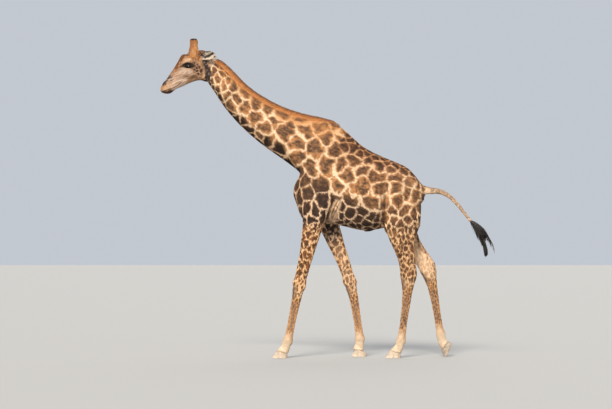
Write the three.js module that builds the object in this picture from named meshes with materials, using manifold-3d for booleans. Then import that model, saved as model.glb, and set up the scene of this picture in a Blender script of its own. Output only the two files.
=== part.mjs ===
// A bull giraffe in mid stride, at life size: a still figure in millimetres, +Z up.
// It faces -Y with its left side towards +X. The flesh is modelled whole from lofted
// forms, then parted by thin plane cuts into the parts that a person would name.
import * as THREE from "three";
import { mergeVertices } from "three/addons/utils/BufferGeometryUtils.js";
import Module from "manifold-3d";

const wasm = await Module();
wasm.setup();

// ---------------------------------------------------------------- driving dimensions
const GAP = 0.4; // clearance between neighbouring pieces
const FAR = 4000; // reach of a cutting block, beyond the whole animal
const TRACK_STEP = 0.02; // half the step over which a path's direction is measured
const SIDES = { left: 1, right: -1 };

const MANE_HEIGHT = 64; // how far the mane stands above the crest of the neck
const MANE_HALF_WIDTH = 15;
const MANE_ROOT = 26; // how deep the blade of the mane starts below the crest
const EYE_RADIUS = 25;
const EYE_CENTRE = [104, -1738, 3675]; // left eye
const EAR_LENGTH = 240;
const EAR_WIDTH = 112;
const EAR_THICKNESS = 13;
const EAR_ROOT = [80, -1582, 3788]; // left ear, as are the two directions
const EAR_ALONG = [0.66, 0.74, 0.1];
const EAR_OPENING = [0.5, -0.62, -0.36];
const HOOF_LENGTH = 196;
const HOOF_WIDTH = 152; // both claws of a foot together
const HOOF_HEIGHT = 88; // at the toe
const HEEL_HEIGHT = 56;
const CLEFT = 9; // between the two claws of a foot
const CORONET_SETBACK = 50; // how far the top of the hoof lies behind its toe

// ---------------------------------------------------------------- body stations, [y, z]
// Each station names the highest and lowest point of a cross-section in the middle
// plane, its half width, where between them it is widest (0 low, 1 high) and how
// square its upper and lower halves are (2 is an ellipse, less is more pointed).
const TRUNK = [
  { top: [-390, 2192], low: [-404, 2015], half: 92, widest: 0.5, upper: 2.0, lower: 2.0 },
  { top: [-312, 2362], low: [-366, 1905], half: 168, widest: 0.45, upper: 2.0, lower: 2.1 },
  { top: [-215, 2700], low: [-300, 1745], half: 228, widest: 0.42, upper: 1.7, lower: 2.2 },
  { top: [-90, 2925], low: [-140, 1690], half: 262, widest: 0.4, upper: 1.6, lower: 2.3 },
  { top: [95, 2962], low: [60, 1678], half: 290, widest: 0.4, upper: 1.6, lower: 2.3 },
  { top: [262, 2850], low: [262, 1640], half: 322, widest: 0.42, upper: 1.7, lower: 2.2 },
  { top: [440, 2683], low: [440, 1600], half: 343, widest: 0.44, upper: 1.8, lower: 2.1 },
  { top: [640, 2568], low: [640, 1606], half: 340, widest: 0.46, upper: 1.9, lower: 2.1 },
  { top: [840, 2482], low: [830, 1668], half: 318, widest: 0.5, upper: 1.9, lower: 2.1 },
  { top: [1010, 2405], low: [990, 1760], half: 284, widest: 0.5, upper: 1.9, lower: 2.1 },
  { top: [1118, 2300], low: [1110, 1850], half: 220, widest: 0.5, upper: 2.0, lower: 2.0 },
  { top: [1202, 2188], low: [1222, 1962], half: 128, widest: 0.5, upper: 2.0, lower: 2.0 },
];

const NECK = [
  { top: [-1520, 3765], low: [-1560, 3560], half: 74, widest: 0.5, upper: 2.0, lower: 2.0 },
  { top: [-1412, 3748], low: [-1492, 3458], half: 98, widest: 0.55, upper: 2.0, lower: 2.0 },
  { top: [-1248, 3598], low: [-1412, 3342], half: 104, widest: 0.52, upper: 1.9, lower: 2.0 },
  { top: [-1062, 3405], low: [-1290, 3156], half: 112, widest: 0.5, upper: 1.9, lower: 2.0 },
  { top: [-868, 3264], low: [-1101, 2935], half: 124, widest: 0.48, upper: 1.8, lower: 2.0 },
  { top: [-606, 3123], low: [-848, 2708], half: 144, widest: 0.46, upper: 1.8, lower: 2.1 },
  { top: [-345, 3034], low: [-594, 2525], half: 170, widest: 0.44, upper: 1.7, lower: 2.1 },
  { top: [-128, 2986], low: [-405, 2388], half: 204, widest: 0.42, upper: 1.7, lower: 2.1 },
  { top: [85, 2966], low: [-205, 2215], half: 238, widest: 0.4, upper: 1.6, lower: 2.0 },
  { top: [235, 2840], low: [40, 2120], half: 232, widest: 0.42, upper: 1.6, lower: 2.0 },
];

const HEAD = [
  { top: [-2082, 3424], low: [-2078, 3346], half: 44, widest: 0.45, upper: 2.2, lower: 2.4 },
  { top: [-2060, 3470], low: [-2034, 3328], half: 64, widest: 0.45, upper: 2.2, lower: 2.2 },
  { top: [-2022, 3508], low: [-1968, 3332], half: 72, widest: 0.45, upper: 2.0, lower: 2.0 },
  { top: [-1982, 3570], low: [-1902, 3384], half: 70, widest: 0.45, upper: 1.9, lower: 1.9 },
  { top: [-1924, 3655], low: [-1818, 3418], half: 84, widest: 0.48, upper: 1.9, lower: 1.8 },
  { top: [-1873, 3739], low: [-1738, 3456], half: 108, widest: 0.58, upper: 2.0, lower: 1.7 },
  { top: [-1826, 3814], low: [-1664, 3484], half: 127, widest: 0.66, upper: 2.3, lower: 1.6 },
  { top: [-1730, 3832], low: [-1604, 3500], half: 124, widest: 0.62, upper: 2.2, lower: 1.7 },
  { top: [-1618, 3876], low: [-1552, 3488], half: 112, widest: 0.5, upper: 2.1, lower: 1.9 },
  { top: [-1526, 3870], low: [-1505, 3484], half: 98, widest: 0.45, upper: 2.0, lower: 2.0 },
  { top: [-1450, 3786], low: [-1472, 3560], half: 78, widest: 0.5, upper: 2.0, lower: 2.0 },
];

// ---------------------------------------------------------------- legs
// A leg follows a path through its joints: 0 is its root in the trunk, 1 the elbow or
// stifle, 2 the knee or hock, 3 the fetlock and 4 the coronet. A station gives the
// reach in front of and behind that path, and the half width across.
const FORE_FORM = [
  { at: 0.0, front: 120, back: 150, half: 84 },
  { at: 0.5, front: 212, back: 225, half: 118 },
  { at: 0.85, front: 190, back: 190, half: 118 },
  { at: 1.0, front: 162, back: 152, half: 108 },
  { at: 1.2, front: 130, back: 120, half: 86 },
  { at: 1.5, front: 96, back: 92, half: 68 },
  { at: 1.73, front: 83, back: 79, half: 58 },
  { at: 1.88, front: 80, back: 78, half: 60 },
  { at: 2.0, front: 86, back: 82, half: 66 },
  { at: 2.12, front: 66, back: 66, half: 56 },
  { at: 2.3, front: 54, back: 54, half: 44 },
  { at: 2.64, front: 45, back: 46, half: 38 },
  { at: 2.83, front: 46, back: 51, half: 42 },
  { at: 3.0, front: 62, back: 69, half: 59 },
  { at: 3.45, front: 60, back: 58, half: 56 },
  { at: 3.8, front: 66, back: 64, half: 66 },
  { at: 4.15, front: 70, back: 68, half: 71 },
  { at: 4.7, front: 74, back: 70, half: 72 },
];

const HIND_FORM = [
  { at: 0.0, front: 170, back: 160, half: 92 },
  { at: 0.5, front: 232, back: 262, half: 126 },
  { at: 1.0, front: 212, back: 246, half: 110 },
  { at: 1.27, front: 176, back: 172, half: 90 },
  { at: 1.52, front: 142, back: 114, half: 74 },
  { at: 1.75, front: 117, back: 94, half: 63 },
  { at: 1.93, front: 107, back: 106, half: 60 },
  { at: 2.06, front: 102, back: 107, half: 62 },
  { at: 2.16, front: 82, back: 82, half: 57 },
  { at: 2.28, front: 60, back: 60, half: 49 },
  { at: 2.45, front: 49, back: 50, half: 43 },
  { at: 2.7, front: 42, back: 43, half: 38 },
  { at: 2.86, front: 44, back: 48, half: 42 },
  { at: 3.0, front: 57, back: 68, half: 56 },
  { at: 3.45, front: 57, back: 58, half: 54 },
  { at: 3.8, front: 62, back: 62, half: 63 },
  { at: 4.15, front: 66, back: 66, half: 68 },
  { at: 4.7, front: 70, back: 70, half: 70 },
];

// joints are [y, z]; spread is how far each joint lies from the middle plane. The leg
// is parted from the trunk below its top height, within its reach along y. The toe is
// where the hoof meets the ground, and pitch raises the heel, in degrees.
const LEGS = {
  fore_left: {
    side: SIDES.left,
    form: FORE_FORM,
    joints: [[-105, 2520], [-143, 1780], [-335, 925], [-487, 212], [-541, 86]],
    spread: [128, 190, 186, 188, 190],
    toe: -680,
    pitch: 0,
    reach: [-760, 160],
    top: 1650,
  },
  fore_right: {
    side: SIDES.right,
    form: FORE_FORM,
    joints: [[-90, 2520], [15, 1780], [303, 955], [427, 220], [405, 90]],
    spread: [128, 190, 186, 188, 190],
    toe: 318,
    pitch: 0,
    reach: [-420, 600],
    top: 1590,
  },
  hind_left: {
    side: SIDES.left,
    form: HIND_FORM,
    joints: [[950, 2220], [942, 1660], [1030, 1058], [932, 212], [868, 86]],
    spread: [136, 178, 168, 172, 176],
    toe: 738,
    pitch: 0,
    reach: [600, 1300],
    top: 1586,
  },
  hind_right: {
    side: SIDES.right,
    form: HIND_FORM,
    joints: [[960, 2220], [930, 1676], [1283, 1132], [1453, 278], [1502, 152]],
    spread: [136, 178, 168, 172, 176],
    toe: 1516,
    pitch: 65,
    reach: [600, 1700],
    top: 1586,
  },
};
const KNEE_CUT_AT = 2.15; // where along a leg its upper part ends, below knee or hock
const LEG_CLEARANCE = 50; // a leg stays at least this far from the middle plane
const FOOT_CUT_AT = 2.84; // where the foot begins, above the fetlock
const TOE_FLAT_DEPTH = 9; // worn off the toe tip of the raised foot, so that it bears

// ---------------------------------------------------------------- tail, horns and cuts
const TAIL = [
  { at: [1110, 2140], radius: 96 },
  { at: [1212, 2114], radius: 66 },
  { at: [1300, 2100], radius: 45 },
  { at: [1430, 2092], radius: 34 },
  { at: [1545, 2038], radius: 28 },
  { at: [1650, 1938], radius: 24 },
  { at: [1752, 1810], radius: 21 },
  { at: [1852, 1684], radius: 20 },
];
const TASSEL = [
  { at: [1820, 1724], radius: 22 },
  { at: [1876, 1672], radius: 40 },
  { at: [1914, 1628], radius: 53 },
  { at: [1950, 1564], radius: 44 },
  { at: [1982, 1480], radius: 30 },
  { at: [2012, 1370], radius: 28 },
  { at: [2016, 1276], radius: 16 },
];
const TASSEL_SIDE_LOCK = [
  { at: [1930, 1660], radius: 24 },
  { at: [2022, 1568], radius: 14 },
  { at: [2098, 1440], radius: 6 },
];
const OSSICONE = [
  { at: [60, -1676, 3765], fore: 86, across: 54 },
  { at: [62, -1673, 3840], fore: 75, across: 48 },
  { at: [66, -1673, 3895], fore: 57, across: 39 },
  { at: [71, -1675, 3945], fore: 47, across: 34 },
  { at: [75, -1674, 3988], fore: 50, across: 40 },
  { at: [77, -1672, 4010], fore: 42, across: 35 },
];
const HEAD_CUT = [[-1512, 3430], [-1412, 3830]];
const NECK_CUT = [[-352, 2300], [-40, 3080]];
const TAIL_CUT = [[1262, 1900], [1262, 2300]];
const TASSEL_CUT = [[1700, 1612], [1930, 1804]];
const CREST_END = [215, 2880]; // where the mane dies away behind the withers
const MOUTH_CUT = [[-2120, 3334], [-1590, 3526]];
const FOREHEAD = { centre: [0, -1790, 3778], reach: [46, 58, 52] };
const SHEATH = { centre: [0, 528, 1602], reach: [40, 72, 44] };
const BROW = { centre: [86, -1744, 3716], reach: [52, 66, 44] };

// ---------------------------------------------------------------- finishes
const finish = (colour, roughness) => ({ color: colour, roughness, metalness: 0 });
const FINISHES = {
  coat: finish(0xa97a54, 0.85),
  leg: finish(0xc4935f, 0.85),
  pale: finish(0xd9c3a4, 0.85),
  mane: finish(0xb5713a, 0.9),
  tassel: finish(0x1b1513, 0.8),
  hoof: finish(0x978a79, 0.6),
  ossicone: finish(0xb4763f, 0.85),
  eye: finish(0x140d0a, 0.1),
};

// ---------------------------------------------------------------- curves through stations
// A smooth curve through values given at rising knots.
function smoothTrack(knots, values) {
  const last = knots.length - 1;
  const steep = (i) => (values[i + 1] - values[i]) / (knots[i + 1] - knots[i]);
  const slopes = knots.map((knot, i) => {
    if (i === 0) return steep(0);
    if (i === last) return steep(last - 1);
    const before = knot - knots[i - 1];
    const after = knots[i + 1] - knot;
    return (steep(i - 1) * after + steep(i) * before) / (before + after);
  });
  return (at) => {
    let i = 0;
    while (i < last - 1 && at > knots[i + 1]) i += 1;
    const span = knots[i + 1] - knots[i];
    const t = (at - knots[i]) / span;
    const t2 = t * t;
    const t3 = t2 * t;
    return (
      (2 * t3 - 3 * t2 + 1) * values[i] +
      (t3 - 2 * t2 + t) * span * slopes[i] +
      (3 * t2 - 2 * t3) * values[i + 1] +
      (t3 - t2) * span * slopes[i + 1]
    );
  };
}

const stationTrack = (stations, pick) =>
  smoothTrack(stations.map((station, i) => station.knot ?? i), stations.map(pick));

// Even steps from the first knot to the last, the same number in every span.
function spanSteps(knots, perSpan) {
  const steps = [];
  for (let i = 0; i < knots.length - 1; i += 1) {
    for (let k = 0; k < perSpan; k += 1) {
      steps.push(knots[i] + ((knots[i + 1] - knots[i]) * k) / perSpan);
    }
  }
  steps.push(knots[knots.length - 1]);
  return steps;
}

const signedPower = (value, power) => Math.sign(value) * Math.abs(value) ** power;

// One closed ring of points round a centre: rise is the unit direction of its upper half.
function oval({ x, centre, rise, up, down, half, upper = 2, lower = 2, around }) {
  const points = [];
  for (let i = 0; i < around; i += 1) {
    const angle = (2 * Math.PI * i) / around;
    const power = 2 / (Math.sin(angle) >= 0 ? upper : lower);
    const across = half * signedPower(Math.cos(angle), power);
    const along = signedPower(Math.sin(angle), power) * (Math.sin(angle) >= 0 ? up : down);
    points.push(
      new THREE.Vector3(x + across, centre[0] + rise[0] * along, centre[1] + rise[1] * along)
    );
  }
  return points;
}

// The unit direction of a path in the middle plane.
function directionAt(y, z, at) {
  const from = new THREE.Vector2(y(at - TRACK_STEP), z(at - TRACK_STEP));
  return new THREE.Vector2(y(at + TRACK_STEP), z(at + TRACK_STEP)).sub(from).normalize();
}

// ---------------------------------------------------------------- solids
function middle(ring) {
  const sum = new THREE.Vector3();
  ring.forEach((point) => sum.add(point));
  return sum.multiplyScalar(1 / ring.length);
}

// Two shrinking rings that round off an end, from the end ring outwards.
function dome(endRing, innerRing, bulge) {
  const centre = middle(endRing);
  const outward = centre.clone().sub(middle(innerRing)).normalize();
  return [Math.PI / 6, Math.PI / 3].map((turn) =>
    endRing.map((point) =>
      centre
        .clone()
        .lerp(point, Math.cos(turn))
        .addScaledVector(outward, bulge * Math.sin(turn))
    )
  );
}

// A closed solid through rings of equal count, with each end a dome of the given bulge.
function solidThrough(rings, startBulge, endBulge) {
  const first = rings[0];
  const last = rings[rings.length - 1];
  const all = [
    ...dome(first, rings[1], startBulge).reverse(),
    ...rings,
    ...dome(last, rings[rings.length - 2], endBulge),
  ];
  const tipAt = (end, inner, bulge) => {
    const centre = middle(end);
    return centre.clone().addScaledVector(centre.clone().sub(middle(inner)).normalize(), bulge);
  };
  const around = first.length;
  const points = [...all.flat(), tipAt(first, rings[1], startBulge)];
  points.push(tipAt(last, rings[rings.length - 2], endBulge));
  const startTip = points.length - 2;
  const endTip = points.length - 1;
  const triangles = [];
  for (let i = 0; i < around; i += 1) {
    const next = (i + 1) % around;
    triangles.push(startTip, next, i);
    for (let r = 0; r < all.length - 1; r += 1) {
      const a = r * around;
      const b = a + around;
      triangles.push(a + i, a + next, b + i, a + next, b + next, b + i);
    }
    const rim = (all.length - 1) * around;
    triangles.push(endTip, rim + i, rim + next);
  }
  return solidOf(points, triangles);
}

function solidOf(points, triangles) {
  const vertProperties = new Float32Array(points.flatMap((point) => point.toArray()));
  const triVerts = new Uint32Array(triangles);
  const solid = new wasm.Manifold(new wasm.Mesh({ numProp: 3, vertProperties, triVerts }));
  if (solid.volume() > 0) return solid;
  const turned = triVerts.slice();
  for (let i = 0; i < turned.length; i += 3) {
    turned[i] = triVerts[i + 1];
    turned[i + 1] = triVerts[i];
  }
  return new wasm.Manifold(new wasm.Mesh({ numProp: 3, vertProperties, triVerts: turned }));
}

// A three.js geometry, moved by a matrix, as a solid.
function solidFromGeometry(geometry, matrix) {
  const bare = geometry.clone().applyMatrix4(matrix);
  bare.deleteAttribute("normal");
  bare.deleteAttribute("uv");
  const merged = mergeVertices(bare, 1e-3);
  const position = merged.getAttribute("position");
  const points = [];
  for (let i = 0; i < position.count; i += 1) {
    points.push(new THREE.Vector3().fromBufferAttribute(position, i));
  }
  return solidOf(points, Array.from(merged.getIndex().array));
}

function ellipsoid({ centre, reach }, side = 1, wide = 10, high = 6) {
  const matrix = new THREE.Matrix4().compose(
    new THREE.Vector3(side * centre[0], centre[1], centre[2]),
    new THREE.Quaternion(),
    new THREE.Vector3(...reach)
  );
  return solidFromGeometry(new THREE.SphereGeometry(1, wide, high), matrix);
}

// The block beyond the line from a to b in the middle plane, on its left as seen from
// +X with -Y ahead; it holds all of x, or one side of the middle plane.
function blockBeyond([a, b], offset = 0, side = 0) {
  const along = new THREE.Vector3(0, b[0] - a[0], b[1] - a[1]).normalize();
  const outward = new THREE.Vector3(0, -along.z, along.y);
  const across = new THREE.Vector3(1, 0, 0);
  const matrix = new THREE.Matrix4().makeBasis(across, along, across.clone().cross(along));
  const centre = new THREE.Vector3(0, (a[0] + b[0]) / 2, (a[1] + b[1]) / 2);
  centre.addScaledVector(outward, offset + FAR / 2);
  centre.x = (side * FAR) / 2;
  matrix.setPosition(centre);
  return solidFromGeometry(new THREE.BoxGeometry(FAR, FAR, FAR), matrix);
}

// The two pieces of a solid that a thin plane cut leaves: beyond the line, and before it.
function partAt(solid, line) {
  return {
    beyond: solid.intersect(blockBeyond(line, GAP / 2)),
    before: solid.subtract(blockBeyond(line, -GAP / 2)),
  };
}

// ---------------------------------------------------------------- lofted forms
function bodyLoft(stations, { perSpan, around, bulges }) {
  const tracks = {};
  const picks = {
    topY: (s) => s.top[0],
    topZ: (s) => s.top[1],
    lowY: (s) => s.low[0],
    lowZ: (s) => s.low[1],
    half: (s) => s.half,
    widest: (s) => s.widest,
    upper: (s) => s.upper,
    lower: (s) => s.lower,
  };
  Object.entries(picks).forEach(([name, pick]) => {
    tracks[name] = stationTrack(stations, pick);
  });
  const rings = spanSteps(stations.map((station, i) => i), perSpan).map((at) => {
    const low = new THREE.Vector2(tracks.lowY(at), tracks.lowZ(at));
    const top = new THREE.Vector2(tracks.topY(at), tracks.topZ(at));
    const height = top.distanceTo(low);
    const rise = top.clone().sub(low).divideScalar(height);
    const widest = tracks.widest(at);
    const centre = low.clone().addScaledVector(rise, height * widest);
    return oval({
      x: 0,
      centre: [centre.x, centre.y],
      rise: [rise.x, rise.y],
      up: height * (1 - widest),
      down: height * widest,
      half: tracks.half(at),
      upper: tracks.upper(at),
      lower: tracks.lower(at),
      around,
    });
  });
  return solidThrough(rings, bulges[0], bulges[1]);
}

function legPath(leg) {
  const sole = new THREE.Vector3(0, 0, 0).applyMatrix4(footMatrix(leg));
  const points = [...leg.joints, [sole.y, sole.z]];
  const spread = [...leg.spread, leg.spread[4]];
  const knots = points.map((point, i) => i);
  const y = smoothTrack(knots, points.map((point) => point[0]));
  const z = smoothTrack(knots, points.map((point) => point[1]));
  const x = smoothTrack(knots, spread.map((distance) => leg.side * distance));
  return (at) => {
    const along = directionAt(y, z, at);
    return { x: x(at), centre: [y(at), z(at)], forward: [along.y, -along.x] };
  };
}

function legLoft(leg) {
  const squareness = 2.1;
  const path = legPath(leg);
  const stations = leg.form.map((station) => ({ ...station, knot: station.at }));
  const front = stationTrack(stations, (s) => s.front);
  const back = stationTrack(stations, (s) => s.back);
  const half = stationTrack(stations, (s) => s.half);
  const knots = stations.map((station) => station.knot);
  const rings = spanSteps(knots, 1).map((at) => {
    const { x, centre, forward } = path(at);
    return oval({
      x,
      centre,
      rise: forward,
      up: front(at),
      down: back(at),
      half: half(at),
      upper: squareness,
      lower: squareness,
      around: 12,
    });
  });
  return solidThrough(rings, 40, 4);
}

function tubeLoft(stations, around, perSpan, bulges) {
  const y = stationTrack(stations, (s) => s.at[0]);
  const z = stationTrack(stations, (s) => s.at[1]);
  const radius = stationTrack(stations, (s) => s.radius);
  const rings = spanSteps(stations.map((station, i) => i), perSpan).map((at) => {
    const along = directionAt(y, z, at);
    const rise = [-along.y, along.x];
    return oval({
      x: 0,
      centre: [y(at), z(at)],
      rise,
      up: radius(at),
      down: radius(at),
      half: radius(at),
      around,
    });
  });
  return solidThrough(rings, bulges[0], bulges[1]);
}

function ossicone(side) {
  const rings = spanSteps(OSSICONE.map((station, i) => i), 1).map((at) => {
    const track = (pick) => stationTrack(OSSICONE, pick)(at);
    return oval({
      x: side * track((s) => s.at[0]),
      centre: [track((s) => s.at[1]), track((s) => s.at[2])],
      rise: [-1, 0],
      up: track((s) => s.fore),
      down: track((s) => s.fore),
      half: track((s) => s.across),
      around: 10,
    });
  });
  return solidThrough(rings, 8, 9);
}

// Half the width of an ear at t, from 0 at its root to 1 at its tip.
function earHalfWidth(t) {
  const swell = 0.36 + 0.64 * Math.sin(Math.PI * (0.12 + 0.62 * t));
  const rounding = Math.sqrt(Math.max(0.03, 1 - ((t - 0.46) / 0.56) ** 4));
  return (EAR_WIDTH / 2) * swell * rounding;
}

// A cupped leaf from its stalk to its tip: two sheets that meet along the rim.
function ear(side) {
  const mirror = new THREE.Vector3(side, 1, 1);
  const root = new THREE.Vector3(...EAR_ROOT).multiply(mirror);
  const along = new THREE.Vector3(...EAR_ALONG).multiply(mirror).normalize();
  const opening = new THREE.Vector3(...EAR_OPENING).multiply(mirror);
  opening.addScaledVector(along, -opening.dot(along)).normalize();
  const across = new THREE.Vector3().crossVectors(along, opening).normalize();
  const steps = 6;
  const around = 10;
  const rings = [];
  for (let i = 0; i <= steps; i += 1) {
    const t = i / steps;
    const half = earHalfWidth(t);
    const curl = 0.62 * half * (1 - 0.55 * t);
    const thick = (EAR_THICKNESS / 2) * (1.7 - 1.1 * t);
    const centre = root.clone().addScaledVector(along, EAR_LENGTH * t);
    const ring = [];
    for (let k = 0; k < around; k += 1) {
      const angle = (2 * Math.PI * k) / around;
      const u = Math.cos(angle);
      const lift = curl * u * u - curl * 0.5 + thick * Math.sin(angle);
      ring.push(centre.clone().addScaledVector(across, half * u).addScaledVector(opening, lift));
    }
    rings.push(ring);
  }
  return solidThrough(rings, 12, 10);
}

// One claw of a foot, toe forward, sole on z = 0; outer is +1 or -1 across the foot.
function claw(outer) {
  const levels = [
    { rise: 0, toe: -HOOF_LENGTH / 2, heel: HOOF_LENGTH / 2 - 4, width: 1 },
    { rise: 0.5, toe: -HOOF_LENGTH / 2 + 24, heel: HOOF_LENGTH / 2 - 1, width: 0.98 },
    { rise: 1.0, toe: -HOOF_LENGTH / 2 + 56, heel: HOOF_LENGTH / 2 - 10, width: 0.92 },
    { rise: 1.25, toe: -HOOF_LENGTH / 2 + 72, heel: HOOF_LENGTH / 2 - 14, width: 0.86 },
  ];
  const wide = HOOF_WIDTH / 2 - CLEFT / 2;
  const around = 12;
  const squareness = 0.85;
  const innerShare = 0.38; // how much of the claw's width lies inside its middle line
  const toeNarrowing = 0.34;
  const rings = levels.map(({ rise, toe, heel, width }) => {
    const ring = [];
    for (let i = 0; i < around; i += 1) {
      const angle = (2 * Math.PI * i) / around;
      const across = signedPower(Math.cos(angle), squareness);
      const along = signedPower(Math.sin(angle), squareness);
      const narrowing = 1 - toeNarrowing * Math.max(0, -along) ** 2;
      const share = across > 0 ? 1 - innerShare : innerShare;
      const fromCleft = wide * (innerShare + across * share * width * narrowing);
      const x = outer * (CLEFT / 2 + fromCleft);
      const y = (toe + heel) / 2 + (along * (heel - toe)) / 2;
      ring.push(new THREE.Vector3(x, y, rise * HOOF_HEIGHT));
    }
    return ring;
  });
  return flatEnded(rings);
}

// A closed solid through rings, with flat ends.
function flatEnded(rings) {
  const around = rings[0].length;
  const points = [...rings.flat(), middle(rings[0]), middle(rings[rings.length - 1])];
  const low = points.length - 2;
  const high = points.length - 1;
  const triangles = [];
  for (let i = 0; i < around; i += 1) {
    const next = (i + 1) % around;
    const rim = (rings.length - 1) * around;
    triangles.push(low, next, i, high, rim + i, rim + next);
    for (let r = 0; r < rings.length - 1; r += 1) {
      const a = r * around;
      const b = a + around;
      triangles.push(a + i, a + next, b + i, a + next, b + next, b + i);
    }
  }
  return solidOf(points, triangles);
}

// The mane is a blade that follows the crest of the neck from the nape to the withers.
function mane(crest) {
  const y = smoothTrack(crest.map((s, i) => i), crest.map((s) => s[0]));
  const z = smoothTrack(crest.map((s, i) => i), crest.map((s) => s[1]));
  const last = crest.length - 1;
  const rings = spanSteps(crest.map((s, i) => i), 2).map((at) => {
    const along = directionAt(y, z, at);
    const rise = [-along.y, along.x];
    const ends = Math.min(1, 0.75 + at, 0.12 + 0.45 * (last - at));
    return oval({
      x: 0,
      centre: [y(at) - rise[0] * MANE_ROOT, z(at) - rise[1] * MANE_ROOT],
      rise,
      up: MANE_ROOT + MANE_HEIGHT * ends,
      down: MANE_ROOT,
      half: MANE_HALF_WIDTH,
      upper: 1.6,
      lower: 2,
      around: 6,
    });
  });
  return solidThrough(rings, 6, 6);
}

// ---------------------------------------------------------------- feet
// The frame of a foot: its toe touches the ground and its sole is raised by the pitch.
function footMatrix(leg) {
  const sink = leg.pitch > 0 ? TOE_FLAT_DEPTH : 0;
  const pitch = THREE.MathUtils.degToRad(leg.pitch);
  const matrix = new THREE.Matrix4().makeTranslation(leg.side * leg.spread[4], leg.toe, -sink);
  matrix.multiply(new THREE.Matrix4().makeRotationX(pitch));
  return matrix.multiply(new THREE.Matrix4().makeTranslation(0, HOOF_LENGTH / 2, 0));
}

// The line along the top of a foot's hooves, from the toe side to the heel.
function coronetLine(leg) {
  const ends = [
    new THREE.Vector3(0, CORONET_SETBACK - HOOF_LENGTH / 2, HOOF_HEIGHT),
    new THREE.Vector3(0, HOOF_LENGTH / 2, HEEL_HEIGHT),
  ];
  return ends.map((end) => end.applyMatrix4(footMatrix(leg))).map((end) => [end.y, end.z]);
}

function hoof(leg, outer) {
  return claw(outer)
    .transform(footMatrix(leg).toArray())
    .subtract(blockBeyond(coronetLine(leg), -GAP / 2))
    .intersect(blockBeyond(GROUND));
}

// ---------------------------------------------------------------- parting the legs
function lineAcross(leg, at) {
  const { centre, forward } = legPath(leg)(at);
  const limb = 200; // more than a leg reaches in front of its path or behind it
  return [limb, -limb].map((reach) => [
    centre[0] + forward[0] * reach,
    centre[1] + forward[1] * reach,
  ]);
}

// The space that a leg takes below the trunk, with its top raised by lift.
function legSpace(leg, lift) {
  const size = [FAR, leg.reach[1] - leg.reach[0], FAR];
  const matrix = new THREE.Matrix4().makeTranslation(
    leg.side * (FAR / 2 + LEG_CLEARANCE),
    (leg.reach[0] + leg.reach[1]) / 2,
    leg.top + lift - FAR / 2
  );
  return solidFromGeometry(new THREE.BoxGeometry(...size), matrix);
}

function partLeg(flesh, leg) {
  const limb = flesh.intersect(legSpace(leg, -GAP / 2));
  const knee = partAt(limb, lineAcross(leg, KNEE_CUT_AT));
  const ankle = partAt(knee.before, lineAcross(leg, FOOT_CUT_AT));
  return {
    upper: knee.beyond,
    lower: ankle.beyond,
    foot: ankle.before.intersect(blockBeyond(coronetLine(leg), GAP / 2)),
  };
}

// ---------------------------------------------------------------- the whole animal
const GROUND = [[-FAR, 0], [FAR, 0]];
const sides = Object.entries(SIDES);
const join = (solids) => solids.reduce((sum, solid) => sum.add(solid));

const body = [
  bodyLoft(TRUNK, { perSpan: 2, around: 20, bulges: [16, 26] }),
  bodyLoft(NECK, { perSpan: 2, around: 16, bulges: [10, 60] }),
  bodyLoft(HEAD, { perSpan: 2, around: 16, bulges: [14, 20] }),
  tubeLoft(TAIL, 8, 2, [20, 6]),
  ellipsoid(FOREHEAD),
  ellipsoid(SHEATH),
  ...sides.map(([, side]) => ellipsoid(BROW, side)),
  ...Object.values(LEGS).map((leg) => legLoft(leg)),
];
const eyeball = (side, radius) =>
  ellipsoid({ centre: EYE_CENTRE, reach: [radius, radius, radius] }, side, 12, 8);
const eyes = sides.map(([name, side]) => ({
  name,
  ball: eyeball(side, EYE_RADIUS),
  socket: eyeball(side, EYE_RADIUS + GAP),
}));
const flesh = eyes.reduce((solid, eye) => solid.subtract(eye.socket), join(body));

const pieces = {};
let rest = flesh;
Object.entries(LEGS).forEach(([name, leg]) => {
  const leftover = rest.subtract(legSpace(leg, GAP / 2));
  const parts = partLeg(rest, leg);
  pieces[`${name}_upper`] = [parts.upper, "leg"];
  pieces[`${name}_lower`] = [parts.lower, "leg"];
  pieces[`${name}_foot`] = [parts.foot, "pale"];
  pieces[`${name}_hoof_outer`] = [hoof(leg, leg.side), "hoof"];
  pieces[`${name}_hoof_inner`] = [hoof(leg, -leg.side), "hoof"];
  rest = leftover;
});

const front = partAt(rest, NECK_CUT);
const top = partAt(front.beyond, HEAD_CUT);
const face = partAt(top.beyond, MOUTH_CUT);
const rump = partAt(front.before, TAIL_CUT);
const tailEnd = partAt(rump.before, TASSEL_CUT);
pieces.head = [face.beyond, "coat"];
pieces.lower_jaw = [face.before, "coat"];
pieces.neck = [top.before, "coat"];
pieces.trunk = [rump.beyond, "coat"];
pieces.tail = [tailEnd.beyond, "coat"];

const tassel = tubeLoft(TASSEL, 7, 1, [6, 10]).add(tubeLoft(TASSEL_SIDE_LOCK, 6, 2, [4, 6]));
pieces.tail_tuft = [partAt(tassel, TASSEL_CUT).before, "tassel"];

// What grows from the flesh is cut by it, moved by a hair's breadth so that a gap stays.
const crest = [...NECK.slice(1, -1).map((station) => station.top), CREST_END];
pieces.mane = [mane(crest).subtract(flesh.translate([0, GAP / 2, GAP])), "mane"];

eyes.forEach((eye) => {
  pieces[`eye_${eye.name}`] = [eye.ball, "eye"];
});
sides.forEach(([name, side]) => {
  const clear = flesh.translate([side * GAP, 0, GAP]);
  pieces[`ossicone_${name}`] = [ossicone(side).subtract(clear), "ossicone"];
  pieces[`ear_${name}`] = [ear(side).subtract(clear), "coat"];
});

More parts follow.
